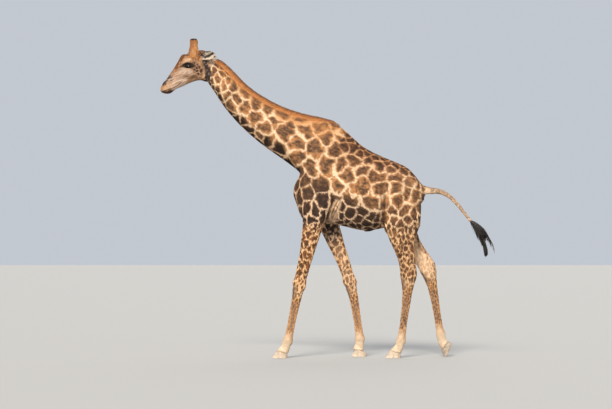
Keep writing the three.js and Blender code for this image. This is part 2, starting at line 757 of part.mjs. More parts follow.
function meshOf(name, solid, look) {
  const { vertProperties, triVerts } = solid.getMesh();
  const geometry = new THREE.BufferGeometry();
  geometry.setAttribute("position", new THREE.BufferAttribute(vertProperties, 3));
  geometry.setIndex(new THREE.BufferAttribute(triVerts, 1));
  geometry.computeVertexNormals();
  const mesh = new THREE.Mesh(geometry, new THREE.MeshStandardMaterial(FINISHES[look]));
  mesh.name = name;
  return mesh;
}

// The origin is on the ground, under the middle of the whole figure.
const group = new THREE.Group();
Object.entries(pieces).forEach(([name, [solid, look]]) => group.add(meshOf(name, solid, look)));
const box = new THREE.Box3().setFromObject(group);
const centre = box.getCenter(new THREE.Vector3());
group.position.set(-centre.x, -centre.y, -box.min.z);

export default group;
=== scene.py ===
"""The looks of a life-size bull giraffe in mid stride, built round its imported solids.

It faces -Y with its left side towards +X, in metres. One skin is drawn over the flesh
solids, sculpted and painted. Short tufts lie on it, and a mane, a tail tassel and lashes
grow from it. Eyes, horns (ossicones) and hooves are pieces of their own.
"""
import math
from functools import cache

import bmesh
import bpy
import numpy as np
import openvdb
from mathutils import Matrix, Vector
from mathutils.bvhtree import BVHTree
from mathutils.kdtree import KDTree


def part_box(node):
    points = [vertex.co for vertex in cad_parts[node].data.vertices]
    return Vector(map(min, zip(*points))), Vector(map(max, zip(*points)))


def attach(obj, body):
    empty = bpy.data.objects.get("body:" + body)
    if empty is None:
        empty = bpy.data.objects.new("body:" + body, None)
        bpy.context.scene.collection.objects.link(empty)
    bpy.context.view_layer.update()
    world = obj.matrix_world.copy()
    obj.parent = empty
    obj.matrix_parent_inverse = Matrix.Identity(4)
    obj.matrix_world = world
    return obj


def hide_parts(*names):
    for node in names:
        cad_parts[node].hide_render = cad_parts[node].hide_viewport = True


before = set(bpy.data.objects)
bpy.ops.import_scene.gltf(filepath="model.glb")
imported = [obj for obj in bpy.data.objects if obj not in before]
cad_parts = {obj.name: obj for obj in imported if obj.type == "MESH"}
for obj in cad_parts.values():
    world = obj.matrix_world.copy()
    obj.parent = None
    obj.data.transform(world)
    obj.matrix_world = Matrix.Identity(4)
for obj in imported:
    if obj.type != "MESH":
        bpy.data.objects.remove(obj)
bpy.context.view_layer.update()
rng = np.random.default_rng(11)

SIDES = {"left": 1, "right": -1}
LEGS = ("fore_left", "fore_right", "hind_left", "hind_right")
LIFTED_LEG = "hind_right"  # it stands on the tips of its toes
LEG_PARTS = ("upper", "lower", "foot")
HEAD_NODES = ["head", "lower_jaw", "ear_left", "ear_right"]
BODY_NODES = ["neck", "trunk", "tail"] + [f"{leg}_{part}" for leg in LEGS for part in LEG_PARTS]
FLESH_NODES = HEAD_NODES + BODY_NODES

BODY_VOXEL = 0.0105  # spacing of the skin's points on the body
HEAD_VOXEL = 0.0042  # and on the head and the top of the neck
SEAL = 0.0015  # how far the drawn surface stands off the solids, to close their cuts
DOWN = np.array([0.0, 0.0, -1.0])


# ---------------------------------------------------------------- arrays and meshes
def read(collection, name, width, kind=np.float32):
    """One property of every vertex, edge or face as an array."""
    values = np.empty(len(collection) * width, kind)
    collection.foreach_get(name, values)
    return values.reshape(-1, width) if width > 1 else values


def mesh_from(name, points, faces):
    """A mesh from arrays, where every face has the same number of corners."""
    count, corners = faces.shape
    mesh = bpy.data.meshes.new(name)
    mesh.vertices.add(len(points))
    mesh.vertices.foreach_set("co", np.ascontiguousarray(points, np.float32).ravel())
    mesh.loops.add(count * corners)
    mesh.loops.foreach_set("vertex_index", np.ascontiguousarray(faces, np.int32).ravel())
    mesh.polygons.add(count)
    mesh.polygons.foreach_set("loop_start", np.arange(0, count * corners, corners, dtype=np.int32))
    mesh.update(calc_edges=True)
    return mesh


def add_object(mesh, name=None):
    piece = bpy.data.objects.new(name or mesh.name, mesh)
    bpy.context.scene.collection.objects.link(piece)
    return piece


def smoothstep(low, high, values):
    """0 at low and 1 at high, which may be the smaller of the two, with a smooth way between."""
    t = np.clip((values - low) / (high - low), 0, 1)
    return t * t * (3 - 2 * t)


def unit(vectors):
    return vectors / np.maximum(np.linalg.norm(vectors, axis=-1, keepdims=True), 1e-9)


def dot(a, b):
    return np.sum(a * b, axis=-1)


def square_to(vectors, axes):
    """What is left of the vectors square to the axes, at unit length."""
    return unit(vectors - axes * dot(vectors, axes)[..., None])


def node_triangles(name):
    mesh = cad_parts[name].data
    mesh.calc_loop_triangles()
    return read(mesh.vertices, "co", 3), read(mesh.loop_triangles, "vertices", 3, np.int32)


def joined_triangles(names):
    """All triangles of some CAD nodes as one soup, with the node's index for each."""
    points, faces, owners, start = [], [], [], 0
    for index, name in enumerate(names):
        node_points, node_faces = node_triangles(name)
        points.append(node_points)
        faces.append(node_faces + start)
        owners.append(np.full(len(node_faces), index))
        start += len(node_points)
    return np.vstack(points), np.vstack(faces), np.concatenate(owners)


def search_tree(names):
    """A tree that finds the nearest triangle of some CAD nodes, with each triangle's node."""
    points, faces, owners = joined_triangles(names)
    return BVHTree.FromPolygons(points.tolist(), faces.tolist()), owners


def level_surface(names, voxel, outset):
    """One closed surface of quads around some CAD nodes."""
    points, faces, _ = joined_triangles(names)
    grid = openvdb.FloatGrid.createLevelSetFromPolygons(
        points.astype(float),
        triangles=faces.astype(np.uint32),
        transform=openvdb.createLinearTransform(voxel),
        halfWidth=3,
    )
    points, quads = grid.convertToQuads(outset)
    a, b, c, d = (points[quads[:, i]] for i in range(4))
    volume = np.sum(dot(a, np.cross(b, c)) + dot(a, np.cross(c, d)))
    return points, quads[:, ::-1] if volume < 0 else quads


# ---------------------------------------------------------------- places in the frame
box = cache(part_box)


def spot(node, along, up):
    """A place as shares of a node's box: along is 0 at its front end and 1 at its back."""
    low, high = box(node)
    return np.array([low.y + along * (high.y - low.y), low.z + up * (high.z - low.z)])


def spots(node, *places):
    """A path through places in the side view, given as shares of a node's box."""
    return [spot(node, *place) for place in places]


def on_both_sides(x, node, *places):
    """Places in a node's box, at x to the left and to the right of the middle plane."""
    path = spots(node, *places)
    return [np.array([sign * x, *place]) for sign in SIDES.values() for place in path]


TOUCHING = 0.0012  # two CAD nodes are closer than this where they meet


def cut_centre(node, neighbour):
    """The middle of the face where one CAD node meets another."""
    tree, _ = search_tree([neighbour])
    points, _ = node_triangles(node)
    near = [p for p in points if tree.find_nearest(Vector(p), TOUCHING)[0] is not None]
    return (np.min(near, axis=0) + np.max(near, axis=0)) / 2


NAPE = cut_centre("neck", "head")
SHOULDER = cut_centre("neck", "trunk")
CROUP = cut_centre("trunk", "tail")
DOCK = cut_centre("tail", "tail_tuft")
EYE = {side: np.mean(box(f"eye_{side}"), axis=0) for side in SIDES}
EYE_RADIUS = (box("eye_left")[1].z - box("eye_left")[0].z) / 2


# ---------------------------------------------------------------- the skin's surface
def cut_mesh(points, quads, origin, normal):
    """The part of a surface that lies behind a plane, as a bmesh open at the plane."""
    mesh = mesh_from("cut", points, quads)
    form = bmesh.new()
    form.from_mesh(mesh)
    bpy.data.meshes.remove(mesh)
    geometry = form.verts[:] + form.edges[:] + form.faces[:]
    bmesh.ops.bisect_plane(
        form, geom=geometry, plane_co=origin, plane_no=normal, clear_outer=True
    )
    return form


def join_bmesh(target, source):
    mesh = bpy.data.meshes.new("part")
    source.to_mesh(mesh)
    source.free()
    target.from_mesh(mesh)
    bpy.data.meshes.remove(mesh)


def refine(form, centres, reach):
    """Halves the edges that have an end within reach of any of the centres."""
    form.verts.ensure_lookup_table()
    points = np.array([vert.co for vert in form.verts])
    near = np.zeros(len(points), bool)
    for centre in centres:
        near |= np.linalg.norm(points - centre, axis=1) < reach
    edges = {edge for index in np.flatnonzero(near) for edge in form.verts[index].link_edges}
    bmesh.ops.subdivide_edges(form, edges=list(edges), cuts=1, use_grid_fill=True)


def draw_skin():
    """A fine head and a coarser body, cut across the upper neck and bridged there."""
    down_neck = unit(SHOULDER - NAPE)
    seam = NAPE + down_neck * 0.2
    half_gap = down_neck * BODY_VOXEL * 0.4
    head = level_surface(HEAD_NODES + ["neck", "eye_left", "eye_right"], HEAD_VOXEL, SEAL)
    body = level_surface(BODY_NODES, BODY_VOXEL, SEAL)
    form = cut_mesh(*head, seam - half_gap, down_neck)
    eyes = list(EYE.values())
    refine(form, eyes + on_both_sides(0, "head", (0.06, 0.1), (0.2, 0.12)), 0.07)
    refine(form, on_both_sides(0.06, "head", (0.36, 0.18)), 0.05)
    refine(form, eyes, 0.046)
    join_bmesh(form, cut_mesh(*body, seam + half_gap, -down_neck))
    elbow_x = box("trunk")[1].x * 0.75
    refine(form, on_both_sides(elbow_x, "trunk", (0.29, 0.25), (0.26, 0.13)), 0.13)
    rim = [edge for edge in form.edges if edge.is_boundary]
    bmesh.ops.bridge_loops(form, edges=rim)
    bmesh.ops.triangulate(form, faces=[face for face in form.faces if len(face.verts) > 4])
    mesh = bpy.data.meshes.new("skin")
    form.to_mesh(mesh)
    form.free()
    return mesh


class Surface:
    """A mesh with its points, normals and edges held as arrays, to be smoothed and pushed."""

    def __init__(self, mesh):
        self.mesh = mesh
        self.points = read(mesh.vertices, "co", 3)
        self.edges = read(mesh.edges, "vertices", 2, np.int32)
        self.degree = np.bincount(self.edges.ravel(), minlength=len(self.points))
        self.refresh()

    def refresh(self):
        self.mesh.vertices.foreach_set("co", self.points.astype(np.float32).ravel())
        self.mesh.update()
        self.normals = read(self.mesh.vertex_normals, "vector", 3)

    def averaged(self, values):
        """The mean of each point's neighbours."""
        a, b = self.edges.T
        count = len(self.points)
        columns = values.reshape(count, -1).T
        sums = [
            np.bincount(a, column[b], count) + np.bincount(b, column[a], count)
            for column in columns
        ]
        return (np.array(sums) / self.degree).T.reshape(values.shape)

    def spread(self, values, passes):
        """Blurs values over the surface."""
        for _ in range(passes):
            values = (values + self.averaged(values)) / 2
        return values

    def smooth(self, passes, weight=1.0):
        """Evens the surface without shrinking it: each step in is followed by one out."""
        for _ in range(passes):
            for step in (0.6, -0.62):
                shift = self.averaged(self.points) - self.points
                self.points = self.points + shift * np.reshape(step * weight, (-1, 1))
        self.refresh()

    def soften(self, passes, weight):
        """Evens out facets: what two rounds of averaging take away is given back once."""
        def averaged_often(points):
            for _ in range(passes):
                shift = self.averaged(points) - points
                points = points + shift * np.reshape(weight / 2, (-1, 1))
            return points

        once = averaged_often(self.points)
        self.points = 2 * once - averaged_often(once)
        self.refresh()

    def push(self, distance):
        """Moves every point out along its normal, or in where the distance is negative."""
        self.points = self.points + self.normals * distance[:, None]
        self.refresh()

    def triangles(self):
        """Corners and area of each triangle."""
        self.mesh.calc_loop_triangles()
        corners = read(self.mesh.loop_triangles, "vertices", 3, np.int32)
        a, b, c = self.points[corners].transpose(1, 0, 2)
        return corners, np.linalg.norm(np.cross(b - a, c - a), axis=1) / 2

    def point_areas(self):
        corners, area = self.triangles()
        return np.bincount(corners.ravel(), np.repeat(area / 3, 3), len(self.points))


def nearest_nodes(points, names):
    """For each point, the index of the CAD node that it lies nearest to."""
    tree, owners = search_tree(names)
    return np.array([owners[tree.find_nearest(point)[2]] for point in points.tolist()])


def drawn_round(nodes, voxel, outset):
    """A surface drawn round some CAD nodes, ready to be shaped into a piece."""
    return Surface(mesh_from(nodes[0], *level_surface(nodes, voxel, outset)))


# ---------------------------------------------------------------- centre lines
class Guide:
    """A centre line through a part of the body. It gives each point a place along it, in
    metres from its start, and an angle round it, from the upper or outer side."""

    def __init__(self, points, reference):
        self.points = np.array(points, float)
        steps = np.diff(self.points, axis=0)
        self.lengths = np.linalg.norm(steps, axis=1)
        self.starts = np.concatenate([[0], np.cumsum(self.lengths)])
        along = unit(steps)
        self.directions = unit(np.vstack([along[:1], along[:-1] + along[1:], along[-1:]]))
        self.reference = np.array(reference, float)

    def locate(self, points):
        """Place along, centre and direction of the line at each point."""
        best = np.full(len(points), np.inf)
        along = np.zeros(len(points))
        for index, length in enumerate(self.lengths):
            start, end = self.points[index], self.points[index + 1]
            share = np.clip(dot(points - start, end - start) / length**2, 0, 1)
            far = np.linalg.norm(points - start - share[:, None] * (end - start), axis=1)
            closer = far < best
            best = np.where(closer, far, best)
            along = np.where(closer, self.starts[index] + share * length, along)
        return along, self.at(along, self.points), unit(self.at(along, self.directions))

    def at(self, along, values):
        return np.stack([np.interp(along, self.starts, column) for column in values.T], axis=1)

    def angle(self, points, centre, direction):
        """Angle round the line: 0 towards the reference, positive towards its left or front."""
        upward = square_to(self.reference, direction)
        radial = points - centre
        return np.arctan2(dot(radial, np.cross(upward, direction)), dot(radial, upward))


def midline_centre(points, place, direction):
    """The middle of the body where a plane across it cuts the middle plane."""
    near = points[(abs(points[:, 0]) < 0.02) & (abs((points - place) @ direction) < 0.012)]
    rise = np.cross(direction, (1, 0, 0))
    heights = (near - place) @ rise
    return place + rise * (heights.min() + heights.max()) / 2


def spine_guide(points):
    """From the muzzle through neck and trunk to the end of the tail's bone."""
    muzzle = np.array([0, *spot("head", 0.02, 0.12)])
    places = [muzzle]
    for start, end, shares in (
        (muzzle, NAPE, (0.2, 0.4, 0.6, 0.8)),
        (NAPE, SHOULDER, (0, 0.2, 0.4, 0.6, 0.8)),
        (SHOULDER, CROUP, (0.12, 0.3, 0.5, 0.7, 0.9)),
    ):
        direction = unit(end - start)
        for share in shares:
            places.append(midline_centre(points, start + (end - start) * share, direction))
    tail = points[(points[:, 1] > CROUP[1]) & (np.abs(points[:, 0]) < 0.08)]
    places.append(CROUP)
    for share in (0.25, 0.5, 0.75):
        y = CROUP[1] + (DOCK[1] - CROUP[1]) * share
        places.append(np.mean(tail[np.abs(tail[:, 1] - y) < 0.015], axis=0) * (0, 1, 1))
    return Guide([*places, DOCK], (0, 0, 1))


def leg_guide(leg):
    """Down a leg, from high in the trunk through knee or hock and fetlock to the hoof."""
    side = SIDES[leg.split("_")[1]]
    low, high = box(f"{leg}_hoof_outer")
    top = cut_centre(f"{leg}_upper", "trunk")
    knee = cut_centre(f"{leg}_lower", f"{leg}_upper")
    ankle = cut_centre(f"{leg}_lower", f"{leg}_foot")
    sole = np.array([knee[0], (low.y + high.y) / 2, low.z])
    root = top + np.array([0, 0, 0.6])
    return Guide([root, top, knee, ankle, sole], (side, 0, 0))


# ---------------------------------------------------------------- sculpting
def path_distance(points, path):
    """Distance of points in the side view from a path through (y, z) places."""
    best = np.full(len(points), np.inf)
    for start, end in zip(path[:-1], path[1:]):
        start, span = np.array(start), np.array(end) - np.array(start)
        offset = points[:, 1:] - start
        share = np.clip(offset @ span / max(span @ span, 1e-12), 0, 1)
        best = np.minimum(best, np.linalg.norm(offset - share[:, None] * span, axis=1))
    return best


def gap_to(points, node, *places):
    """Distance of points in the side view from a path through places in a node's box."""
    return path_distance(points, spots(node, *places))


def swell(distance, reach):
    """A smooth hump: 1 at no distance, 0 from reach on either side."""
    return np.clip(1 - (distance / reach) ** 2, 0, 1) ** 2


class Sculptor:
    """Raises and sinks the skin along paths that are drawn on the animal's side."""

    def __init__(self, surface):
        self.points = surface.points
        self.lift = np.zeros(len(surface.points))
        across, outward = surface.points[:, 0], surface.normals[:, 0]
        self.facing = {
            side: smoothstep(0.0, 0.02, across * sign) * smoothstep(0.05, 0.45, outward * sign)
            for side, sign in SIDES.items()
        }

    def stroke(self, path, reach, lift, sides=SIDES):
        hump = swell(path_distance(self.points, path), reach)
        for side in sides:
            self.lift += lift * hump * self.facing[side]


STROKES = {  # each stroke's reach and lift, then its path in shares of the node's box
    "trunk": (
        (0.1, 0.007, (0.26, 0.93), (0.1, 0.45)),  # shoulder blade and the hollow behind it
        (0.11, -0.007, (0.4, 0.85), (0.3, 0.36)),
        (0.1, 0.011, (0.04, 0.46), (0.1, 0.3)),  # point of the shoulder, groove of the breast
        (0.06, -0.006, (0.0, 0.2), (0.1, 0.12)),
        (0.13, -0.012, (0.7, 0.66), (0.72, 0.4)),  # hollow of the flank, point of the hip
        (0.07, 0.012, (0.74, 0.62), (0.76, 0.6)),
        (0.1, 0.008, (0.87, 0.62), (0.93, 0.4)),  # buttock and the groove behind it
        (0.03, -0.006, (0.95, 0.5), (0.92, 0.1)),
        (0.11, 0.02, (0.77, 0.42), (0.765, 0.26), (0.78, 0.1)),  # thigh, crease before it
        (0.055, -0.02, (0.672, 0.4), (0.668, 0.22), (0.672, 0.05)),
        (0.02, -0.008, (0.688, 0.34), (0.683, 0.2), (0.688, 0.04)),
    ),
    "neck": (
        (0.045, -0.006, (0.12, 0.72), (0.36, 0.42), (0.62, 0.2), (0.8, 0.1)),  # jugular groove
    ),
    "head": (
        (0.026, 0.0045, (0.5, 0.46), (0.38, 0.36), (0.3, 0.3)),  # facial crest
        (0.075, 0.007, (0.64, 0.44), (0.72, 0.36)),  # cheek and edge of the jaw
        (0.022, 0.004, (0.62, 0.27), (0.8, 0.3), (0.9, 0.42)),
        (0.028, -0.006, (0.86, 0.46), (0.83, 0.66)),  # hollows behind the jaw and the eye
        (0.042, -0.007, (0.66, 0.68), (0.72, 0.66)),
        (0.034, -0.006, (0.44, 0.58), (0.3, 0.42), (0.18, 0.32)),  # beside the nose
        (0.04, -0.004, (0.36, 0.28), (0.46, 0.3)),
        (0.03, 0.004, (0.5, 0.72), (0.6, 0.74)),  # brow and the corner of the eye
        (0.018, -0.004, (0.44, 0.66), (0.5, 0.6)),
    ),
}


def sculpt_form(surface):
    """The forms of STROKES, faint ribs, the neck's bones, folds at its throat, and the elbows."""
    sculptor = Sculptor(surface)
    for node, strokes in STROKES.items():
        for reach, lift, *path in strokes:
            sculptor.stroke(spots(node, *path), reach, lift)
    for rib in range(7):
        along = 0.4 + 0.045 * rib
        sculptor.stroke(spots("trunk", (along, 0.72), (along + 0.035, 0.3)), 0.03, 0.0022)
    for along, up in ((0.15, 0.86), (0.29, 0.72), (0.43, 0.58), (0.58, 0.46), (0.74, 0.38)):
        bone = spots("neck", (along - 0.02, up + 0.02), (along + 0.03, up - 0.03))
        sculptor.stroke(bone, 0.07, 0.005)
    for fold in range(4):
        along = 0.015 + 0.028 * fold
        path = spots("neck", (along, 0.8 - 0.02 * fold), (along + 0.012, 0.71 - 0.03 * fold))
        sculptor.stroke(path, 0.013, -0.003)
    for side in SIDES:
        sculpt_elbow(sculptor, side)
    surface.push(sculptor.lift)


HORN_FOOT = 0.06  # how far from a horn its foot still shows in the head's form and colour


def horn_gap(points):
    """How far each point of the head lies from the horns, up to the reach of their feet."""
    tree, _ = search_tree([f"ossicone_{side}" for side in SIDES])
    low, high = box("ossicone_left")
    beside = np.abs(points[:, 1] - (low.y + high.y) / 2) < (high.y - low.y) / 2 + HORN_FOOT
    near = np.flatnonzero(beside & (points[:, 2] > low.z - HORN_FOOT))
    gap = np.full(len(points), HORN_FOOT)
    gap[near] = [min(tree.find_nearest(place)[3], HORN_FOOT) for place in points[near].tolist()]
    return gap


def bank_up_horns(surface):
    """Raises the skin round the foot of each horn, so that the horns grow out of the head."""
    surface.push(0.009 * smoothstep(0.03, 0.0, horn_gap(surface.points)))


def flatten_sheath(surface):
    """Sinks the bump under the belly to what a bull shows from the side."""
    points, normals = surface.points, surface.normals
    along, height = spot("trunk", 0.565, 0.0)
    bump = swell(np.hypot(points[:, 0], points[:, 1] - along), 0.11)
    underneath = smoothstep(-0.2, -0.7, normals[:, 2]) * (points[:, 2] < height + 0.12)
    surface.push(-0.022 * bump * underneath)


def elbow_fold(side):
    """The line where the upper arm's rear edge meets the chest, from its top to the elbow."""
    back = 0.0 if side == "left" else 0.05  # the right fore leg is further back
    fold = spots("trunk", (0.299, 0.279), (0.276, 0.209), (0.261, 0.146), (0.231, 0.075))
    return [place + (back, 0) for place in fold]


def sculpt_elbow(sculptor, side):
    """The arm's edge over the chest, and the loose folds of skin behind it."""
    fold = elbow_fold(side)
    sculptor.stroke(fold, 0.024, -0.03, [side])
    sculptor.stroke([place + (-0.08, 0.0) for place in fold], 0.085, 0.018, [side])
    for step, lift in ((0.028, 0.012), (0.048, -0.01), (0.068, 0.01), (0.09, -0.008)):
        loose = [place + (step * (1 - 0.5 * rank / 3), -0.01) for rank, place in enumerate(fold)]
        sculptor.stroke(loose, 0.018, lift, [side])


FRONT, BACK, INNER = -np.pi / 2, np.pi / 2, np.pi  # ways round a leg, from its outer side
LEG_FORMS = {  # lift; the mark it is measured from, how far below, its reach; its way and spread
    "fore": (
        (0.007, "joint", -0.045, 0.05, FRONT, 1.1),  # the knee
        (0.006, "joint", 0.05, 0.045, FRONT, 1.1),
        (0.009, "joint", -0.01, 0.05, BACK, 0.8),
        (-0.005, "joint", -0.13, 0.07, BACK, 1.0),
        (0.008, "top", 0.2, 0.22, FRONT + 0.6, 0.9),  # the forearm's muscles and their groove
        (-0.006, "top", 0.35, 0.3, 0.35, 0.35),
    ),
    "hind": (
        (0.008, "joint", -0.03, 0.05, BACK, 0.6),  # the hock and its sides
        (0.006, "joint", 0.02, 0.07, 0.0, 0.8),
        (0.006, "joint", 0.02, 0.07, INNER, 0.8),
        (-0.013, "joint", -0.2, 0.19, 0.95, 0.5),  # the hollows before the great tendon
        (-0.013, "joint", -0.2, 0.19, INNER - 0.95, 0.5),
        (0.008, "top", 0.15, 0.2, FRONT + 0.7, 0.8),
    ),
    "both": (
        (0.005, "fetlock", 0.0, 0.05, 0.0, 0.7),
        (0.005, "fetlock", 0.0, 0.05, INNER, 0.7),
        (-0.006, "fetlock", 0.06, 0.04, BACK, 1.0),
    ),
}


def sculpt_leg(surface, leg, guide):
    """Knee or hock, tendons, fetlock, and the cleft between the toes."""
    kind, side = leg.split("_")
    side = SIDES[side]
    points = surface.points
    along, centre, direction = guide.locate(points)
    turn = guide.angle(points, centre, direction) * side
    radius = np.linalg.norm(points - centre, axis=1)
    _, top, knee, ankle, sole = guide.starts
    marks = {"top": top, "joint": knee - 0.085, "fetlock": ankle + 0.07}

    def toward(angle, spread):
        return swell((turn - angle + np.pi) % (2 * np.pi) - np.pi, spread)

    lift = np.zeros(len(points))
    for height, mark, below, reach, way, spread in LEG_FORMS[kind] + LEG_FORMS["both"]:
        lift += height * swell(along - marks[mark] - below, reach) * toward(way, spread)
    below_joint = smoothstep(0.08, 0.16, along - marks["joint"])
    shaft = below_joint * smoothstep(0.03, -0.06, along - ankle)
    for angle in (0.55, INNER - 0.55):
        lift -= 0.006 * shaft * toward(angle, 0.45)
    lift += 0.003 * shaft * toward(BACK, 0.5)
    if leg != LIFTED_LEG:
        coronet = sole - box(f"{leg}_hoof_outer")[1].z
        lift += 0.003 * swell(along - coronet + 0.008, 0.022)
    toes = smoothstep(0.01, 0.07, along - marks["fetlock"])
    lift -= 0.014 * toes * swell(points[:, 0] - guide.points[-1][0], 0.013)
    mine = (np.sign(points[:, 0]) == side) & (radius < 0.2) & (along > top - 0.1)
    mine = mine & (points[:, 2] < box(f"{leg}_upper")[1].z + 0.1)
    surface.push(np.where(mine, lift, 0))


MOUTH = spots("head", (0.0, 0.018), (0.04, 0.012), (0.085, 0.02), (0.15, 0.05), (0.235, 0.085),
              (0.33, 0.15), (0.385, 0.205), (0.4, 0.235))
NOSTRIL = spots("head", (0.052, 0.16), (0.062, 0.2), (0.09, 0.245), (0.128, 0.268))


def sculpt_muzzle(surface):
    """The closed mouth with its full upper lip, and the slit nostrils with their rims."""
    points = surface.points
    gap = path_distance(points, MOUTH)
    corner = MOUTH[-1][0]
    above = points[:, 2] > np.interp(points[:, 1], *np.transpose(MOUTH))
    fullness = np.where(above, 0.0042, 0.0015) * (points[:, 1] < corner + 0.005)
    fade = smoothstep(corner + 0.012, corner - 0.03, points[:, 1])
    lift = fullness * swell(gap - 0.012, 0.013) * fade
    lift -= 0.0085 * swell(gap, 0.0062) * (0.45 + 0.55 * fade)
    lateral = smoothstep(0.2, 0.6, np.abs(surface.normals[:, 0]))
    slit = path_distance(points, NOSTRIL)
    ends = [spot("head", along, 0)[0] for along in (0.05, 0.13)]
    half_width = 0.0075 * np.interp(points[:, 1], ends, [1.25, 0.7])
    rim = 0.0045 * swell(slit - 0.0125, 0.011)
    lift += lateral * (rim - 0.016 * swell(slit, half_width))
    for along, up in ((0.41, 0.2), (0.43, 0.26)):
        crease = gap_to(points, "head", (along, up), (along + 0.02, up + 0.05))
        lift -= 0.0025 * lateral * swell(crease, 0.008)
    surface.push(lift)


EYE_HALF_LENGTH = 0.0235  # of the opening between the lids
EYE_HALF_HEIGHT = 0.0150
LID_THICKNESS = 0.0030


def eye_axes(side):
    """The way the eye looks, the way to its rear corner, and the way to its upper lid."""
    outward = unit(np.array([SIDES[side], -0.22, 0.02]))
    back = square_to(np.array([0, 1, 0.1]), outward)
    return outward, back, np.cross(back, outward) * SIDES[side]


def eye_plane(points):
    """Places seen along the look of the nearer eye: towards its rear corner and its upper
    lid; and the distance from its middle."""
    back, up = np.empty(len(points)), np.empty(len(points))
    far = np.empty(len(points))
    for side, sign in SIDES.items():
        own = points[:, 0] * sign >= 0
        offset = points[own] - EYE[side]
        _, to_back, to_up = eye_axes(side)
        back[own], up[own] = offset @ to_back, offset @ to_up
        far[own] = np.linalg.norm(offset, axis=1)
    return back, up, far


def sculpt_eye(surface, side):
    """Wraps lids round the eyeball and sinks the skin behind it inside their opening."""
    outward, back, up = eye_axes(side)
    offset = surface.points - EYE[side]
    reach = dot(offset, outward)
    near = (np.linalg.norm(offset, axis=1) < 0.075) & (reach > -0.012)
    u, v = dot(offset, back), dot(offset, up)
    tangent = np.hypot(u, v)
    heading = np.stack([u, v], axis=1) / np.maximum(tangent, 1e-6)[:, None]
    arch = np.where(v > 0, EYE_HALF_HEIGHT * 1.05, EYE_HALF_HEIGHT * 0.92)
    edge = 1 / np.sqrt((heading[:, 0] / EYE_HALF_LENGTH) ** 2 + (heading[:, 1] / arch) ** 2)
    from_edge = tangent - edge
    lid_radius = EYE_RADIUS + LID_THICKNESS + 0.0022 * swell(from_edge - 0.0035, 0.005)
    dome = np.sqrt(np.maximum(lid_radius**2 - tangent**2, 0.0))
    closeness = smoothstep(0.047, 0.027, tangent)
    wanted = reach + (np.maximum(dome, reach * 0.4) - reach) * closeness
    upper_fold = swell(from_edge - 0.012, 0.0045) * (v > 0.002)
    wanted -= 0.003 * upper_fold
    deep = np.sqrt(np.maximum((EYE_RADIUS - 0.004) ** 2 - tangent**2, 0.0))
    wanted = np.where(from_edge < 0, np.minimum(deep, wanted), wanted)
    surface.points = surface.points + np.where(near, wanted - reach, 0)[:, None] * outward
    surface.refresh()


def is_node(nodes, *words):
    """Whether each point's node has a name that starts with any of the words."""
    return np.array([name.startswith(words) for name in FLESH_NODES])[nodes]


def smoothed_skin():
    """The drawn skin, evened out, with the index of the flesh node that each point is nearest."""
    surface = Surface(draw_skin())
    nodes = nearest_nodes(surface.points, FLESH_NODES)
    is_ear = is_node(nodes, "ear")
    on_head = is_node(nodes, "head", "lower_jaw")
    on_body = is_node(nodes, "neck", "trunk")
    surface.smooth(12, surface.spread(np.where(is_ear, 0.12, np.where(on_head, 0.6, 1.0)), 4))
    points = surface.points
    flesh = np.where(on_body, 1.0, np.where(on_head, 0.7, np.where(is_ear, 0.0, 0.25)))
    fold = np.zeros(len(points))
    for leg in LEGS:
        top = box(f"{leg}_upper")[1]
        fold = np.maximum(fold, swell(np.hypot(points[:, 1] - top.y, points[:, 2] - top.z), 0.3))
    flesh = np.where(on_body, flesh * (1 - 0.75 * fold), flesh)
    surface.soften(55, surface.spread(flesh, 8))
    return surface, nodes


# ---------------------------------------------------------------- the body's regions
class Regions:
    """Where each point of the skin lies on the body, in terms that colours and hair use."""

    def __init__(self, surface, nodes):
        self.surface, self.points, self.nodes = surface, surface.points, nodes
        self.masks = {}
        self.spine = spine_guide(self.points)
        self.along, self.centre, self.forward = self.spine.locate(self.points)
        self.round = np.abs(self.spine.angle(self.points, self.centre, self.forward))
        marks = np.array([NAPE, SHOULDER, CROUP])
        self.nape, self.shoulder, self.croup = self.spine.locate(marks)[0]
        self.side = np.where(self.points[:, 0] > 0, 1, -1)
        self.leg_weight, self.stage, self.leg_turn, self.hind = np.zeros((4, len(nodes)))
        self.leg_forward = np.tile([0.0, 0.0, -1.0], (len(nodes), 1))
        self.legs = {leg: leg_guide(leg) for leg in LEGS}
        for leg, guide in self.legs.items():
            self.add_leg(leg, guide)

    def add_leg(self, leg, guide):
        """Stage is 1 at the leg's top, 2 at the knee or hock, 3 at the fetlock, 4 at the sole."""
        side = SIDES[leg.split("_")[1]]
        along, centre, direction = guide.locate(self.points)
        radius = np.linalg.norm(self.points - centre, axis=1)
        stage = np.interp(along, guide.starts, [0, 1, 2, 3, 4])
        near = is_node(self.nodes, "trunk") & (self.side == side)
        weight = smoothstep(0.36, 0.2, radius) * smoothstep(0.0, 0.8, stage) * near
        weight = self.surface.spread(np.where(is_node(self.nodes, leg), 1.0, weight), 5)
        better = weight > self.leg_weight
        self.leg_weight[better] = weight[better]
        self.stage[better] = stage[better]
        self.leg_turn[better] = guide.angle(self.points, centre, direction)[better] * side
        self.leg_forward[better] = direction[better]
        self.hind[better] = leg.startswith("hind")

    def part(self, *prefixes, passes=4):
        """A soft mask of the nodes whose names start with any of the words."""
        key = (prefixes, passes)
        if key not in self.masks:
            hit = is_node(self.nodes, *prefixes)
            self.masks[key] = self.surface.spread(hit.astype(float), passes)
        return self.masks[key]

    def leg_part(self, start, end, soft=0.1):
        """A soft mask of the legs between two stages."""
        rise = smoothstep(start - soft, start + soft, self.stage)
        fall = smoothstep(end + soft, end - soft, self.stage)
        return self.leg_weight * rise * fall


